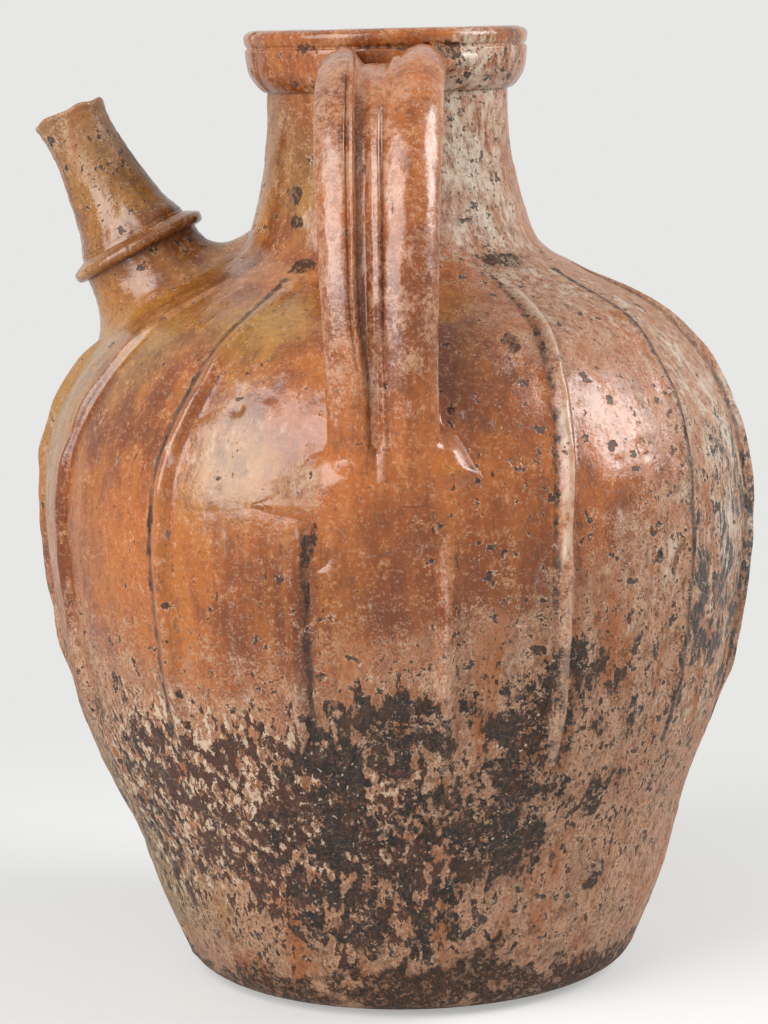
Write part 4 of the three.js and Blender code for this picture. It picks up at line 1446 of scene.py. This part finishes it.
@dataclass
class Spout:
    """The slanting spout: root, collar and tube about one axis.

    Attributes:
        workshop: Where the pieces are finished.
        azimuth: Where it stands on the shoulder.
        lean: Its slant from upright, in degrees.
        seat: Height at which its axis meets the wall.
        bore: Radius of the bore.
        foot_radius: Radius at which the root runs out onto the shoulder.
        root_radius: Radius of the root under the collar.
        root_length: Height of the collar's underside along the axis.
        collar_radius: Radius of the collar's crest.
        tube_foot: Where the tube starts along the axis.
        tip: End of the tube along the axis.
        tube_radius: Radius of the tube's foot.
        ring_depth: Depth of the throwing lines.
        ring_pitch: Way from one throwing line to the next.
        segments: Steps round the axis.
    """

    workshop: Workshop
    azimuth: float = -95.0
    lean: float = 26.4
    seat: float = 0.3044
    bore: float = 0.0105
    foot_radius: float = 0.05
    root_radius: float = 0.027
    root_length: float = 0.0216
    collar_radius: float = 0.0316
    tube_foot: float = 0.028
    tip: float = 0.0915
    tube_radius: float = 0.0258
    ring_depth: float = 0.00012
    ring_pitch: float = 0.0047
    segments: int = 160
    axis: Matrix = field(init=False)

    def __post_init__(self) -> None:
        """Sets the axis up."""
        form = self.workshop.form
        seat = outward(self.azimuth) * form.radius(self.seat) + Vector((0.0, 0.0, self.seat))
        turn = Matrix.Rotation(math.radians(self.azimuth - 90.0), 4, "Z")
        self.axis = Matrix.Translation(seat) @ turn @ Matrix.Rotation(math.radians(self.lean), 4, "Y")

    def build(self) -> None:
        """Builds all three pieces."""
        self.root()
        self.collar()
        self.tube()

    def settle(self, clay: Shape, node: str, dirt: Along, rubbed: Along) -> None:
        """Roughens a turned piece, wears it and sets it on the axis.

        Args:
            clay: The piece, turned about Z.
            node: The solid that it stands for.
            dirt: Dirt at a height along the axis.
            rubbed: Wear at a height along the axis.
        """
        grime, rub = wear_layers(clay, Wear.GRIME, Wear.RUB)
        for vertex in clay.verts:
            distance = math.hypot(vertex.co.x, vertex.co.y)
            vertex[grime] = dirt(vertex.co.z)
            vertex[rub] = rubbed(vertex.co.z)
            if distance > self.bore + 0.0015:
                out = Vector((vertex.co.x, vertex.co.y, 0.0)) / distance
                spot = Vector((out.x * 2.0, out.y * 2.0, vertex.co.z * 45.0))
                turn = vertex.co.z * ROUND / self.ring_pitch + noise.noise(spot) * 2.0
                ring = self.ring_depth * math.sin(turn)
                vertex.co += out * (0.0006 * noise.noise(spot) + 0.00025 * noise.noise(spot * 3.1) + ring)
        clay.transform(self.axis)
        self.workshop.publish(clay, node, Slot.GLAZE)

    def root(self) -> None:
        """Builds the socket that flares out onto the shoulder."""
        form = self.workshop.form
        back = self.axis.inverted()
        rows = 22
        rings: list[list[Vector]] = []
        for row in range(rows + 1):
            share = row / rows
            ring: list[Vector] = []
            for step in range(self.segments):
                angle = ROUND * step / self.segments
                way = Vector((math.cos(angle), math.sin(angle), 0.0))
                foot = self.on_wall(way * self.foot_radius, back)
                knee = Vector((way.x * self.root_radius, way.y * self.root_radius, foot.z * 0.4))
                head = way * self.root_radius + Vector((0.0, 0.0, self.root_length))
                ring.append(head * (1 - share) ** 2 + knee * 2 * share * (1 - share) + foot * share**2)
            rings.append(ring)
        bore = [Vector((point.x, point.y, 0.0)).normalized() * self.bore for point in rings[0]]
        for height in (-3 * form.thickness, self.root_length):
            rings.append([point + Vector((0.0, 0.0, height)) for point in bore])
        clay = draw_bar([*rings, rings[0]])
        bmesh.ops.remove_doubles(clay, verts=clay.verts[:], dist=MERGE)
        bmesh.ops.recalc_face_normals(clay, faces=clay.faces[:])
        self.settle(
            clay,
            "spout_root",
            lambda height: 0.7 * smoothstep(self.root_length - 0.006, self.root_length, height),
            lambda height: 0.0,
        )

    def on_wall(self, start: Vector, back: Matrix) -> Vector:
        """Drops a place down the axis until it lies just inside the wall.

        Args:
            start: A place in the spout's own frame.
            back: The way from the pitcher's frame into the spout's.

        Returns:
            The place on the wall, in the spout's own frame.
        """
        form = self.workshop.form
        low, high = -0.06, 0.06
        for _ in range(30):
            middle = (low + high) / 2
            place = self.axis @ Vector((start.x, start.y, middle))
            if math.hypot(place.x, place.y) < form.radius(place.z):
                low = middle
            else:
                high = middle
        place = self.axis @ Vector((start.x, start.y, low))
        return back @ form.place(azimuth_of(place), place.z, -0.0006)

    def collar(self) -> None:
        """Builds the thin flange."""
        foot, crest = self.root_length, self.collar_radius
        outer = smooth_path(
            (
                (self.root_radius - 0.001, foot - 0.001),
                (crest - 0.0016, foot - 0.0005),
                (crest - 0.0002, foot + 0.0007),
                (crest, foot + 0.0024),
                (crest - 0.0006, foot + 0.0041),
                (crest - 0.0027, foot + 0.0054),
                (self.tube_radius + 0.0005, self.tube_foot + 0.0004),
            ),
            4,
        )
        clay = turn_profile([*outer, (self.bore, self.tube_foot), (self.bore, foot)], self.segments)
        self.settle(
            clay,
            "spout_collar",
            lambda height: 0.5 * smoothstep(foot + 0.0012, foot, height),
            lambda height: 0.45 * smoothstep(0.0016, 0.0, abs(height - foot - 0.0026)),
        )

    def tube(self) -> None:
        """Builds the tapered tube with its worn, slightly flared lip."""
        length = self.tip - self.tube_foot
        outer = smooth_path(
            (
                (self.tube_radius, self.tube_foot - 0.0006),
                (0.0248, self.tube_foot + 0.0022),
                (0.0246, self.tube_foot + 0.0036),
                (0.0207, self.tube_foot + length * 0.2),
                (0.0174, self.tube_foot + length * 0.44),
                (0.0157, self.tube_foot + length * 0.66),
                (0.0153, self.tip - 0.012),
                (0.0157, self.tip - 0.005),
                (0.0164, self.tip - 0.0016),
                (0.0157, self.tip),
                (0.0138, self.tip),
                (0.0124, self.tip - 0.0022),
                (0.0108, self.tip - 0.009),
                (self.bore, self.tip - 0.02),
                (self.bore, self.tube_foot),
            ),
            5,
        )
        clay = turn_profile(outer, self.segments)
        for vertex in clay.verts:
            near = smoothstep(self.tip - 0.012, self.tip, vertex.co.z)
            way = Vector((vertex.co.x, vertex.co.y, 0.0)).normalized()
            ragged = 0.0014 * noise.noise(way * 1.6 + Vector((2.0, 5.0, 1.0)))
            vertex.co.z += near * (ragged + 0.05 * vertex.co.x)
        self.settle(
            clay,
            "spout_tube",
            lambda height: 0.35 * smoothstep(self.tube_foot + 0.002, self.tube_foot, height)
            + 0.3 * smoothstep(self.tip - 0.006, self.tip, height),
            lambda height: 0.3 * smoothstep(self.tip - 0.004, self.tip - 0.0005, height),
        )


@dataclass(frozen=True)
class WingShape:
    """The edge that the handle's foot is smeared out to on one side.

    Attributes:
        side: Which side it lies on.
        edge: Height and way from the handle's middle at points down the edge.
        lip: How high the edge stands.
        crisp: Width over which it falls off.
        bend: How round it falls off, where 1 is straight.
        fade: Heights between which the edge runs out below.
        root: Heights between which it runs out into the roll above.
    """

    side: Side
    edge: tuple[Pair, ...]
    lip: float
    crisp: float
    bend: float
    fade: Pair
    root: Pair

    def reach(self, height: float) -> float:
        """Gives how far the edge lies from the handle's middle at a height."""
        heights, reaches = zip(*reversed(self.edge))
        return float(np.interp(height, heights, reaches))

    def lift(self, sideways: float, height: float, middle: float, start: float) -> float:
        """Gives how far the smeared clay stands off the wall.

        Args:
            sideways: Way from the handle's middle, to this side.
            height: Metres above the foot.
            middle: The lift in the middle.
            start: Way from the middle at which the clay starts to fall off.

        Returns:
            The lift.
        """
        edge = self.reach(height)
        lip = self.lip * smoothstep(*self.fade, height) * (1.0 - smoothstep(*self.root, height))
        lip = min(middle, lip)
        if sideways < edge:
            fall = 1.0
            if edge > start:
                fall = min(1.0, max(0.0, (sideways - start) / (edge - start))) ** 1.4
            return lerp(middle, lip, fall)
        return lip * (1.0 - min(1.0, (sideways - edge) / self.crisp) ** self.bend)


@dataclass
class Handle:
    """The strap handle of two rolls and a web, with the clay smeared out at its ends.

    Attributes:
        workshop: Where the pieces are finished.
        line: Control points of the middle line, as (radius, height).
        stations: Share of the line, then the edges of the left roll and of the right roll along X.
        roll_thickness: Thickness of the rolls.
        web_thickness: Thickness of the web.
        ridge_height: Height of the ridge down the web.
        ridge: Where the ridge lies along X.
        groove: Where the groove beside it lies along X.
        web_end: Share of the line at which the web ends in the pad.
        fan_low: Height at which the foot runs out onto the belly.
        fan_top: Height at which the foot leaves the wall.
        fan_blend: Height down to which the foot follows the rolls.
        pad_half: Half width of the pad between the wings.
        wing_ends: Where the wings end along X, to the left and to the right.
        sink: How far the smeared clay reaches into what it lies on.
        wings: The clay smeared out to the left and to the right.
        rows: Steps along the line.
        creases: Place across and depth of the crease down each roll, and height of the bead beside it.
        tilts: How far the front of each roll leans to the left.
        fullness: Squareness of each roll's section, where 2 is round.
        fronts: How much fuller each roll's front is than its back.
        rub_and_sheen: How far each roll is rubbed pale, partly a painted sheen on its upper part.
        rub_and_sheen_span: Heights between which the rubbing and the painted sheen set in.
        sides: Steps round a roll.
    """

    workshop: Workshop
    line: tuple[Pair, ...] = ((0.0573, 0.403), (0.1373, 0.411), (0.1546, 0.342), (0.1496, 0.232))
    stations: tuple[tuple[float, float, float, float, float], ...] = (
        (0.0, -0.0264, -0.0095, 0.0072, 0.0268),
        (0.2, -0.0268, -0.0095, 0.0035, 0.0262),
        (0.4, -0.027, -0.0095, -0.001, 0.025),
        (0.6, -0.026, -0.0095, -0.0022, 0.0233),
        (0.75, -0.0245, -0.009, -0.0028, 0.0222),
        (0.85, -0.0236, -0.0056, -0.0034, 0.0219),
        (1.0, -0.0226, -0.0042, -0.0034, 0.0218),
    )
    roll_thickness: float = 0.016
    web_thickness: float = 0.007
    ridge_height: float = 0.0036
    ridge: float = -0.0026
    groove: float = -0.007
    web_end: float = 0.93
    fan_low: float = 0.2
    fan_top: float = 0.268
    fan_blend: float = 0.236
    pad_half: float = 0.017
    wing_ends: Pair = (-0.056, 0.046)
    sink: float = 0.0025
    wings: tuple[WingShape, WingShape] = (
        WingShape(
            Side.LEFT,
            edge=(
                (0.272, 0.0222),
                (0.26, 0.0228),
                (0.2515, 0.0256),
                (0.2425, 0.0312),
                (0.2362, 0.0386),
                (0.2325, 0.0472),
                (0.2311, 0.0545),
                (0.2285, 0.046),
                (0.225, 0.036),
                (0.22, 0.026),
                (0.21, 0.02),
            ),
            lip=0.0024,
            crisp=0.007,
            bend=2.0,
            fade=(0.222, 0.242),
            root=(0.244, 0.256),
        ),
        WingShape(
            Side.RIGHT,
            edge=(
                (0.272, 0.0208),
                (0.262, 0.021),
                (0.2564, 0.0222),
                (0.2524, 0.0243),
                (0.249, 0.026),
                (0.2463, 0.0276),
                (0.2434, 0.03),
                (0.2385, 0.033),
            ),
            lip=0.0056,
            crisp=0.0085,
            bend=1.45,
            fade=(0.237, 0.2445),
            root=(0.2495, 0.262),
        ),
    )
    rows: int = 150
    creases: tuple[Triple, Triple] = ((0.56, 0.0012, 0.0018), (0.0, 0.0, 0.0))
    tilts: Pair = (0.0024, 0.0003)
    fullness: Pair = (2.5, 1.85)
    fronts: Pair = (1.0, 1.2)
    rub_and_sheen: Pair = (0.55, 0.42)
    rub_and_sheen_span: Pair = (0.25, 0.29)
    sides: int = 112
    crown: tuple[list[float], list[float]] = field(init=False)
    outlines: list[list[Pair]] = field(init=False)

    def __post_init__(self) -> None:
        """Works out the edges, and how far the rolls' fronts stand off the wall from the foot up."""
        shares, *columns = zip(*self.stations)
        self.outlines = [smooth_path(list(zip(shares, column)), 12) for column in columns]
        fronts = [self.at(1.0 - step / 400, 0.0, self.roll_thickness / 2) for step in range(201)]
        form = self.workshop.form
        self.crown = ([front.z for front in fronts], [-front.y - form.radius(front.z) for front in fronts])

    def build(self) -> None:
        """Builds all seven pieces."""
        self.roll("handle_left_roll", Side.LEFT)
        self.roll("handle_right_roll", Side.RIGHT)
        self.web()
        self.smear("handle_foot_pad", -self.pad_half, self.pad_half)
        self.smear("handle_foot_left_wing", self.wing_ends[0], -self.pad_half)
        self.smear("handle_foot_right_wing", self.pad_half, self.wing_ends[1])
        self.top_wing()

    def edges(self, share: float) -> list[float]:
        """Gives both edges of the left roll and then of the right roll at a share of the line."""
        return [float(np.interp(share, *zip(*outline))) for outline in self.outlines]

    def at(self, share: float, sideways: float, out: float) -> Vector:
        """Finds a place beside the middle line.

        Args:
            share: Share of the line.
            sideways: Way along X from the line.
            out: Way off the line, to the outside.

        Returns:
            The place.
        """
        centre, travel = bezier(self.line, share)
        place = centre + Vector((-travel.y, travel.x)) * out
        return Vector((sideways, -place.x, place.y))

    def roll(self, node: str, side: Side) -> None:
        """Builds one roll.

        Args:
            node: The solid that it stands for.
            side: Which roll it is.
        """
        which = 0 if side is Side.LEFT else 1
        crease, depth, bead = self.creases[which]
        power = 2.0 / self.fullness[which]
        sections: list[list[Vector]] = []
        for row in range(self.rows + 1):
            share = row / self.rows
            start, end = self.edges(share)[2 * which : 2 * which + 2]
            opened = smoothstep(0.1, 0.3, share) * (1.0 - smoothstep(0.7, 0.9, share))
            ring: list[Vector] = []
            for step in range(self.sides):
                angle = ROUND * (step + 0.5) / self.sides
                along = math.copysign(abs(math.cos(angle)) ** power, math.cos(angle))
                up = math.copysign(abs(math.sin(angle)) ** power, math.sin(angle))
                spot = Vector((along + 5 * side.value, up, share * 9.0))
                swell = 1.0 + 0.04 * noise.noise(spot) + 0.02 * noise.noise(spot * 3.0)
                out = self.roll_thickness / 2 * up * swell
                if up > 0:
                    slit = depth * math.exp(-(((along - crease) / 0.08) ** 2))
                    hump = bead * math.exp(-(((along - crease - 0.22) / 0.13) ** 2))
                    out = out * self.fronts[which] + up * self.tilts[which] * along + opened * (hump - slit)
                ring.append(self.at(share, (start + end) / 2 + (end - start) / 2 * along * swell, out))
            sections.append(ring)
        clay = draw_bar(sections)
        # Pale rub on the roll's upper part, partly a painted sheen.
        (rub,) = wear_layers(clay, Wear.RUB)
        for vertex in clay.verts:
            vertex[rub] = self.rub_and_sheen[which] * smoothstep(*self.rub_and_sheen_span, vertex.co.z)
        self.workshop.publish(clay, node, Slot.GLAZE)

    def web(self) -> None:
        """Builds the web with the ridge down its middle."""
        sections: list[list[Vector]] = []
        half = self.sides // 2
        for row in range(self.rows + 1):
            share = self.web_end * row / self.rows
            left, inner_left, inner_right, right = self.edges(share)
            emerged = smoothstep(0.12, 0.42, share)
            proud = self.ridge_height * emerged * (1.0 - smoothstep(0.7, 0.88, share))
            level = self.web_thickness / 2 - 0.003 * (1.0 - smoothstep(0.0, 0.16, share))
            level += 0.002 * smoothstep(0.8, self.web_end, share)
            front: list[Vector] = []
            back: list[Vector] = []
            for step in range(half):
                x = lerp((left + inner_left) / 2, (inner_right + right) / 2, step / (half - 1))
                bow = math.exp(-((abs(x - self.ridge) / 0.0024) ** 2.6)) * proud
                bow += 0.0022 * emerged * smoothstep(self.ridge, self.ridge + 0.0025, x)
                fillet = 0.003 * smoothstep(inner_left + 0.0025, inner_left - 0.001, x)
                fillet += 0.0032 * smoothstep(inner_right - 0.0025, inner_right + 0.001, x)
                fillet *= 1.0 - emerged
                wave = 0.0003 * noise.noise(Vector((x * 300.0, share * 14.0, 2.0)))
                front.append(self.at(share, x, level + bow + fillet + wave))
                back.append(self.at(share, x, -self.web_thickness / 2))
            sections.append([*front, *reversed(back)])
        clay = draw_bar(sections)
        grime, rub = wear_layers(clay, Wear.GRIME, Wear.RUB)
        for vertex in clay.verts:
            under = smoothstep(0.398, 0.37, vertex.co.z)
            # Dirt and painted shade in the groove beside the ridge and in the thin crease.
            groove = 0.55 * smoothstep(0.0024, 0.0, abs(vertex.co.x - self.groove))
            slit = 0.4 * smoothstep(0.0009, 0.0, abs(vertex.co.x - 0.001))
            vertex[grime] = under * max(groove, slit)
            vertex[rub] = 0.5 * (1.0 - vertex[grime])
        self.workshop.publish(clay, "handle_web", Slot.GLAZE)

    def fan(self, sideways: float, height: float) -> float:
        """Gives how far the handle's foot stands off the wall.

        Args:
            sideways: Way along X from the handle's middle.
            height: Metres above the foot.

        Returns:
            The lift; below 0 where the clay has run out.
        """
        level = max(height, self.fan_blend)
        above = smoothstep(self.fan_blend, self.fan_top, level)
        middle = float(np.interp(level, *self.crown)) + lerp(0.0012, -0.0025, above)
        if height < self.fan_blend:
            middle *= max(0.0, (height - self.fan_low) / (self.fan_blend - self.fan_low)) ** 1.6
        wing = self.wings[0 if sideways < 0 else 1]
        start = lerp(0.004, 0.0165, smoothstep(self.fan_low, 0.255, height))
        lift = wing.lift(abs(sideways), height, middle, start)
        furrow = 0.004 * math.exp(-(((sideways + 0.0036) / 0.0014) ** 2))
        lift -= furrow * smoothstep(0.238, self.fan_top, height)
        lift *= 1.0 + 0.16 * noise.noise(Vector((sideways * 110.0, height * 110.0, 4.0)))
        return lift - 0.0006 * (1.0 - smoothstep(0.0, 0.0012, lift))

    def smear(self, node: str, start: float, end: float) -> None:
        """Builds a stretch of the clay smeared onto the wall.

        Args:
            node: The solid that it stands for.
            start: Its left end, along X.
            end: Its right end, along X.
        """
        form = self.workshop.form
        columns = max(24, round((end - start) / 0.0009))

        def where(across: float, along: float) -> Pair:
            """Gives the way along X and the height at shares across and along."""
            height = lerp(self.fan_low - 0.004, self.fan_top, (along + 1) / 2)
            return lerp(start, end, (across + 1) / 2), height

        def face(across: float, along: float) -> Vector:
            """Gives the front."""
            sideways, height = where(across, along)
            return form.place(form.across(0.0, height, sideways), height, self.fan(sideways, height))

        def seat(across: float, along: float) -> Vector:
            """Gives the back, a little inside the wall."""
            sideways, height = where(across, along)
            return form.place(form.across(0.0, height, sideways), height, -self.sink)

        self.workshop.publish(lay_strip(columns, 70, face, seat), node, Slot.GLAZE)

    def top_wing(self) -> None:
        """Builds the clay smeared from the right roll along the rim band."""
        rim = self.workshop.form.rim_radius

        def place(across: float, along: float, lift: float) -> Vector:
            """Finds a place off the rim band."""
            share = (along + 1) / 2
            sideways = lerp(0.02, 0.04, share)
            out = Vector((sideways, -math.sqrt(rim**2 - sideways**2), 0.0)).normalized()
            height = 0.4065 + across * lerp(0.008, 0.0025, share)
            return out * (rim + lift) + Vector((0.0, 0.0, height))

        def front(across: float, along: float) -> Vector:
            """Gives the front."""
            share = (along + 1) / 2
            crown = max(0.0, 1.0 - abs(across) ** 2.5)
            return place(across, along, lerp(0.0065, 0.0008, share**0.7) * crown - 0.0006)

        def seat(across: float, along: float) -> Vector:
            """Gives the back, a little inside the band."""
            return place(across, along, -self.sink)

        self.workshop.publish(lay_strip(30, 30, front, seat), "handle_top_wing", Slot.GLAZE)


@dataclass(frozen=True)
class RibShape:
    """One rib's place and look.

    Attributes:
        azimuth: Where it stands on the belly.
        top: Height at which it ends.
        width: Width of its crest.
        height: How far it stands out.
        rub: How far its crest is rubbed pale.
        dirt: Dirt and painted shade along one side.
        stained: Which side that is, as a share of its reach to the right.
        crisp: Which side falls off steeply.
        hook: How far its top end bends to the left.
        pale: Whitish bloom on its crest, partly a painted highlight.
    """

    azimuth: float
    top: float = 0.316
    width: float = 0.0078
    height: float = 0.0042
    rub: float = 0.15
    dirt: float = 0.35
    stained: float = -0.4
    crisp: Side = Side.LEFT
    hook: float = 0.0
    pale: float = 0.0


@dataclass
class Ribs:
    """The upright strips of clay on the body.

    Attributes:
        workshop: Where the pieces are finished.
        shapes: The ribs, in order.
        belly: Height from which they lean over.
        twist: How far they lean over at the neck's joint, in degrees.
        foot: Height at which they fade out.
        fade: Length over which an end fades.
        flare: Half width of the strip, as a share of the crest's width.
        sink: How far the strip reaches into the wall.
        columns: Faces across a strip.
        row_pitch: Length of a face along it.
    """

    workshop: Workshop
    shapes: tuple[RibShape, ...] = (
        # The dirt along one side of each rib is partly painted shade at its crest and steep side.
        RibShape(-90.0, top=0.296, width=0.014, height=0.0055),
        RibShape(-65.0, dirt=0.45),
        RibShape(-37.0, width=0.0115, height=0.005, dirt=0.85, pale=0.25),
        RibShape(-14.2, top=0.2195, width=0.0095, height=0.0048, dirt=0.9, stained=0.4, crisp=Side.RIGHT),
        RibShape(
            8.4,
            top=0.2195,
            width=0.0085,
            height=0.0072,
            rub=0.5,
            dirt=0.6,
            stained=0.45,
            crisp=Side.RIGHT,
        ),
        RibShape(27.2, width=0.009, height=0.006, rub=0.8, dirt=0.75, hook=0.009, pale=0.75),
        RibShape(52.4, width=0.012, height=0.0038, dirt=1.0, stained=0.06),
        RibShape(78.6, height=0.005, dirt=0.8),
        RibShape(105.0),
        RibShape(131.0, width=0.0095),
        RibShape(157.0, stained=0.4, crisp=Side.RIGHT),
        RibShape(183.0, rub=0.5),
        RibShape(208.0),
        RibShape(232.0, top=0.3),
    )
    belly: float = 0.205
    twist: float = 10.0
    foot: float = 0.117
    fade: float = 0.034
    flare: float = 1.25
    sink: float = 0.0016
    columns: int = 18
    row_pitch: float = 0.0018

    def build(self) -> None:
        """Builds every rib."""
        for number, shape in enumerate(self.shapes, start=1):
            self.rib(f"rib_{number:02d}", shape)

    def lean(self, height: float) -> float:
        """Gives how far a rib has leaned over at a height, in degrees."""
        over = max(0.0, (height - self.belly) / (self.workshop.form.neck_joint - self.belly))
        return self.twist * over**2

    def rib(self, node: str, shape: RibShape) -> None:
        """Builds one rib.

        Args:
            node: The solid that it stands for.
            shape: Its place and look.
        """
        form = self.workshop.form
        flare = shape.width * self.flare
        rows = max(20, round((shape.top - self.foot) / self.row_pitch))

        def where(across: float, along: float) -> Pair:
            """Gives the azimuth and the height at shares across and along."""
            height = lerp(self.foot, shape.top, (along + 1) / 2)
            stray = 0.0012 * noise.noise(Vector((shape.azimuth, height * 35.0, 0.0)))
            stray -= shape.hook * smoothstep(shape.top - 0.007, shape.top, height)
            return form.across(shape.azimuth + self.lean(height), height, across * flare + stray), height

        def crest(across: float) -> float:
            """Gives the rib's section: 1 on its crest and 0 where it runs out."""
            sideways = across * flare / (shape.width / 2) * -shape.crisp.value
            edge = 0.75 if sideways < 0 else 0.62
            return math.exp(-((abs(sideways) / edge) ** (1.8 if sideways < 0 else 3.2)))

        def front(across: float, along: float) -> Vector:
            """Gives the front."""
            azimuth, height = where(across, along)
            full = lerp(0.12, 1.0, smoothstep(0.0, self.fade, min(height - self.foot, shape.top - height)))
            worn = 0.82 + 0.3 * noise.noise(Vector((shape.azimuth * 3.0, height * 70.0, across)))
            sunk = 0.0004 * smoothstep(0.75, 1.0, abs(across))
            return form.place(azimuth, height, shape.height * full * worn * crest(across) - sunk)

        def seat(across: float, along: float) -> Vector:
            """Gives the back, a little inside the wall."""
            return form.place(*where(across, along), -self.sink)

        clay = lay_strip(self.columns, rows, front, seat)
        rub, grime, seam, bloom_and_sheen = wear_layers(clay, Wear.RUB, Wear.GRIME, Wear.SEAM, Wear.BLOOM_AND_SHEEN)
        for vertex in clay.verts:
            height = vertex.co.z
            turn = half_circle_turn(azimuth_of(vertex.co) - shape.azimuth - self.lean(height))
            sideways = math.radians(turn) * form.radius(height) / flare
            vertex[rub] = shape.rub * crest(sideways)
            vertex[bloom_and_sheen] = shape.pale * crest(sideways) * smoothstep(0.15, 0.19, height)
            # Dirt and painted shade along one side, into the seam and grime layers.
            near = smoothstep(0.34, 0.0, abs(sideways - shape.stained))
            far = 0.6 * smoothstep(0.25, 0.0, abs(sideways + shape.stained))
            vertex[seam] = shape.dirt * max(near, far)
            vertex[grime] = 0.7 * shape.dirt * near
        self.workshop.publish(clay, node, Slot.GLAZE)


@dataclass(frozen=True)
class Softbox:
    """A large soft light.

    Attributes:
        name: Its name.
        stand: Where it hangs.
        aim: What it looks at.
        width: Its width.
        height: Its height.
        power: Its power, in watts.
    """

    name: str
    stand: Triple
    aim: Triple
    width: float
    height: float
    power: float

    def hang(self) -> None:
        """Hangs the light."""
        lamp = bpy.data.lights.new(self.name, "AREA")
        lamp.shape = "RECTANGLE"
        lamp.size = self.width
        lamp.size_y = self.height
        lamp.energy = self.power
        light = add_object(self.name, lamp)
        light.location = self.stand
        view = Vector(self.aim) - Vector(self.stand)
        light.rotation_euler = view.to_track_quat("-Z", "Y").to_euler()


@dataclass
class Studio:
    """A pale room with two large soft lights and the photograph's camera.

    Attributes:
        paper: Colour of the floor and the backdrop.
        fill: Light from all round.
        softboxes: The large lights.
        distance: The camera's distance from the axis.
        eye: The camera's height.
        azimuth: Where the camera stands.
        pitch: How far it looks down, in degrees.
        yaw: How far it looks to the left of the axis, in degrees.
        roll: How far it leans to the right, in degrees.
        lens: Focal length, in millimetres on a 36 mm frame.
    """

    paper: Colour = (0.8, 0.8, 0.785)
    fill: Colour = (0.27, 0.27, 0.27)
    softboxes: tuple[Softbox, ...] = (
        Softbox("left_softbox", (-1.02, -1.08, 1.15), (-0.05, -0.1, 0.6), 1.4, 1.7, 46.0),
        Softbox("right_softbox", (1.45, -0.12, 1.15), (0.08, -0.08, 0.6), 0.8, 1.15, 32.0),
    )
    distance: float = 1.4
    eye: float = 0.42
    azimuth: float = 1.4
    pitch: float = 8.73
    yaw: float = 0.224
    roll: float = 1.25
    lens: float = 110.74

    def build(self) -> None:
        """Sets the room up."""
        self.camera()
        self.floor()
        self.world()
        for softbox in self.softboxes:
            softbox.hang()

    def camera(self) -> None:
        """Places the camera."""
        lens = bpy.data.cameras.new("camera")
        lens.sensor_width = 36.0
        lens.lens = self.lens
        camera = add_object("camera", lens)
        stand = outward(self.azimuth) * self.distance + Vector((0.0, 0.0, self.eye))
        turn = Matrix.Rotation(math.radians(self.azimuth + self.yaw), 4, "Z")
        tilt = Matrix.Rotation(math.radians(90.0 - self.pitch), 4, "X")
        lean = Matrix.Rotation(math.radians(-self.roll), 4, "Z")
        camera.matrix_world = Matrix.Translation(stand) @ turn @ tilt @ lean
        bpy.context.scene.camera = camera

    def floor(self) -> None:
        """Lays the floor, which runs out into the backdrop's colour."""
        sheet = bmesh.new()
        bmesh.ops.create_circle(sheet, cap_ends=True, segments=64, radius=90.0)
        mesh = bpy.data.meshes.new("floor")
        sheet.to_mesh(mesh)
        sheet.free()
        floor = add_object("floor", mesh)
        w = Finish("paper_floor")
        flat = w.squeezed(w.place(), (1.0, 1.0, 0.0))
        reach = w.node("ShaderNodeVectorMath", {0: flat}, operation="LENGTH").outputs["Value"]
        far = w.between(w.step(reach, 0.12, 0.7), 0.45, 1.0)
        w.shader.inputs["Base Color"].default_value = (*self.paper, 1.0)
        w.shader.inputs["Roughness"].default_value = 0.9
        w.shader.inputs["Specular IOR Level"].default_value = 0.1
        glow = w.node("ShaderNodeEmission", {"Color": (*self.paper, 1.0), "Strength": 1.0})
        links = {0: w.times(far, w.backdrop()), 1: w.shader.outputs[0], 2: glow.outputs[0]}
        mixed = w.node("ShaderNodeMixShader", links)
        w.tree.links.new(mixed.outputs[0], w.tree.nodes["Material Output"].inputs["Surface"])
        mesh.materials.append(w.material)

    def world(self) -> None:
        """Lights the room all round, and shows the backdrop's colour behind it."""
        world = bpy.data.worlds.new("room")
        world.use_nodes = True
        world.node_tree.nodes.clear()
        w = Wiring(world.node_tree)
        glow = w.node("ShaderNodeBackground", {"Color": w.blend(w.backdrop(), self.fill, self.paper)})
        w.node("ShaderNodeOutputWorld", {"Surface": glow.outputs[0]})
        bpy.context.scene.world = world


def main() -> None:
    """Builds the room and the pitcher, and notes how large it came out."""
    logging.basicConfig(level=logging.INFO, format="%(message)s")
    bpy.context.scene.view_settings.view_transform = "Standard"
    Studio().build()
    finishes = {
        Slot.GLAZE: GlazedClay("glaze").material(),
        Slot.WORN_GLAZE: GlazedClay("worn_glaze").material(),
        Slot.BARE_CLAY: BareClay("bare_clay").material(),
    }
    workshop = Workshop(WallForm(), Weathering(), finishes)
    for assembly in (Body(workshop), RimBand(workshop), Spout(workshop), Handle(workshop), Ribs(workshop)):
        assembly.build()


if __name__ == "__main__":
    main()
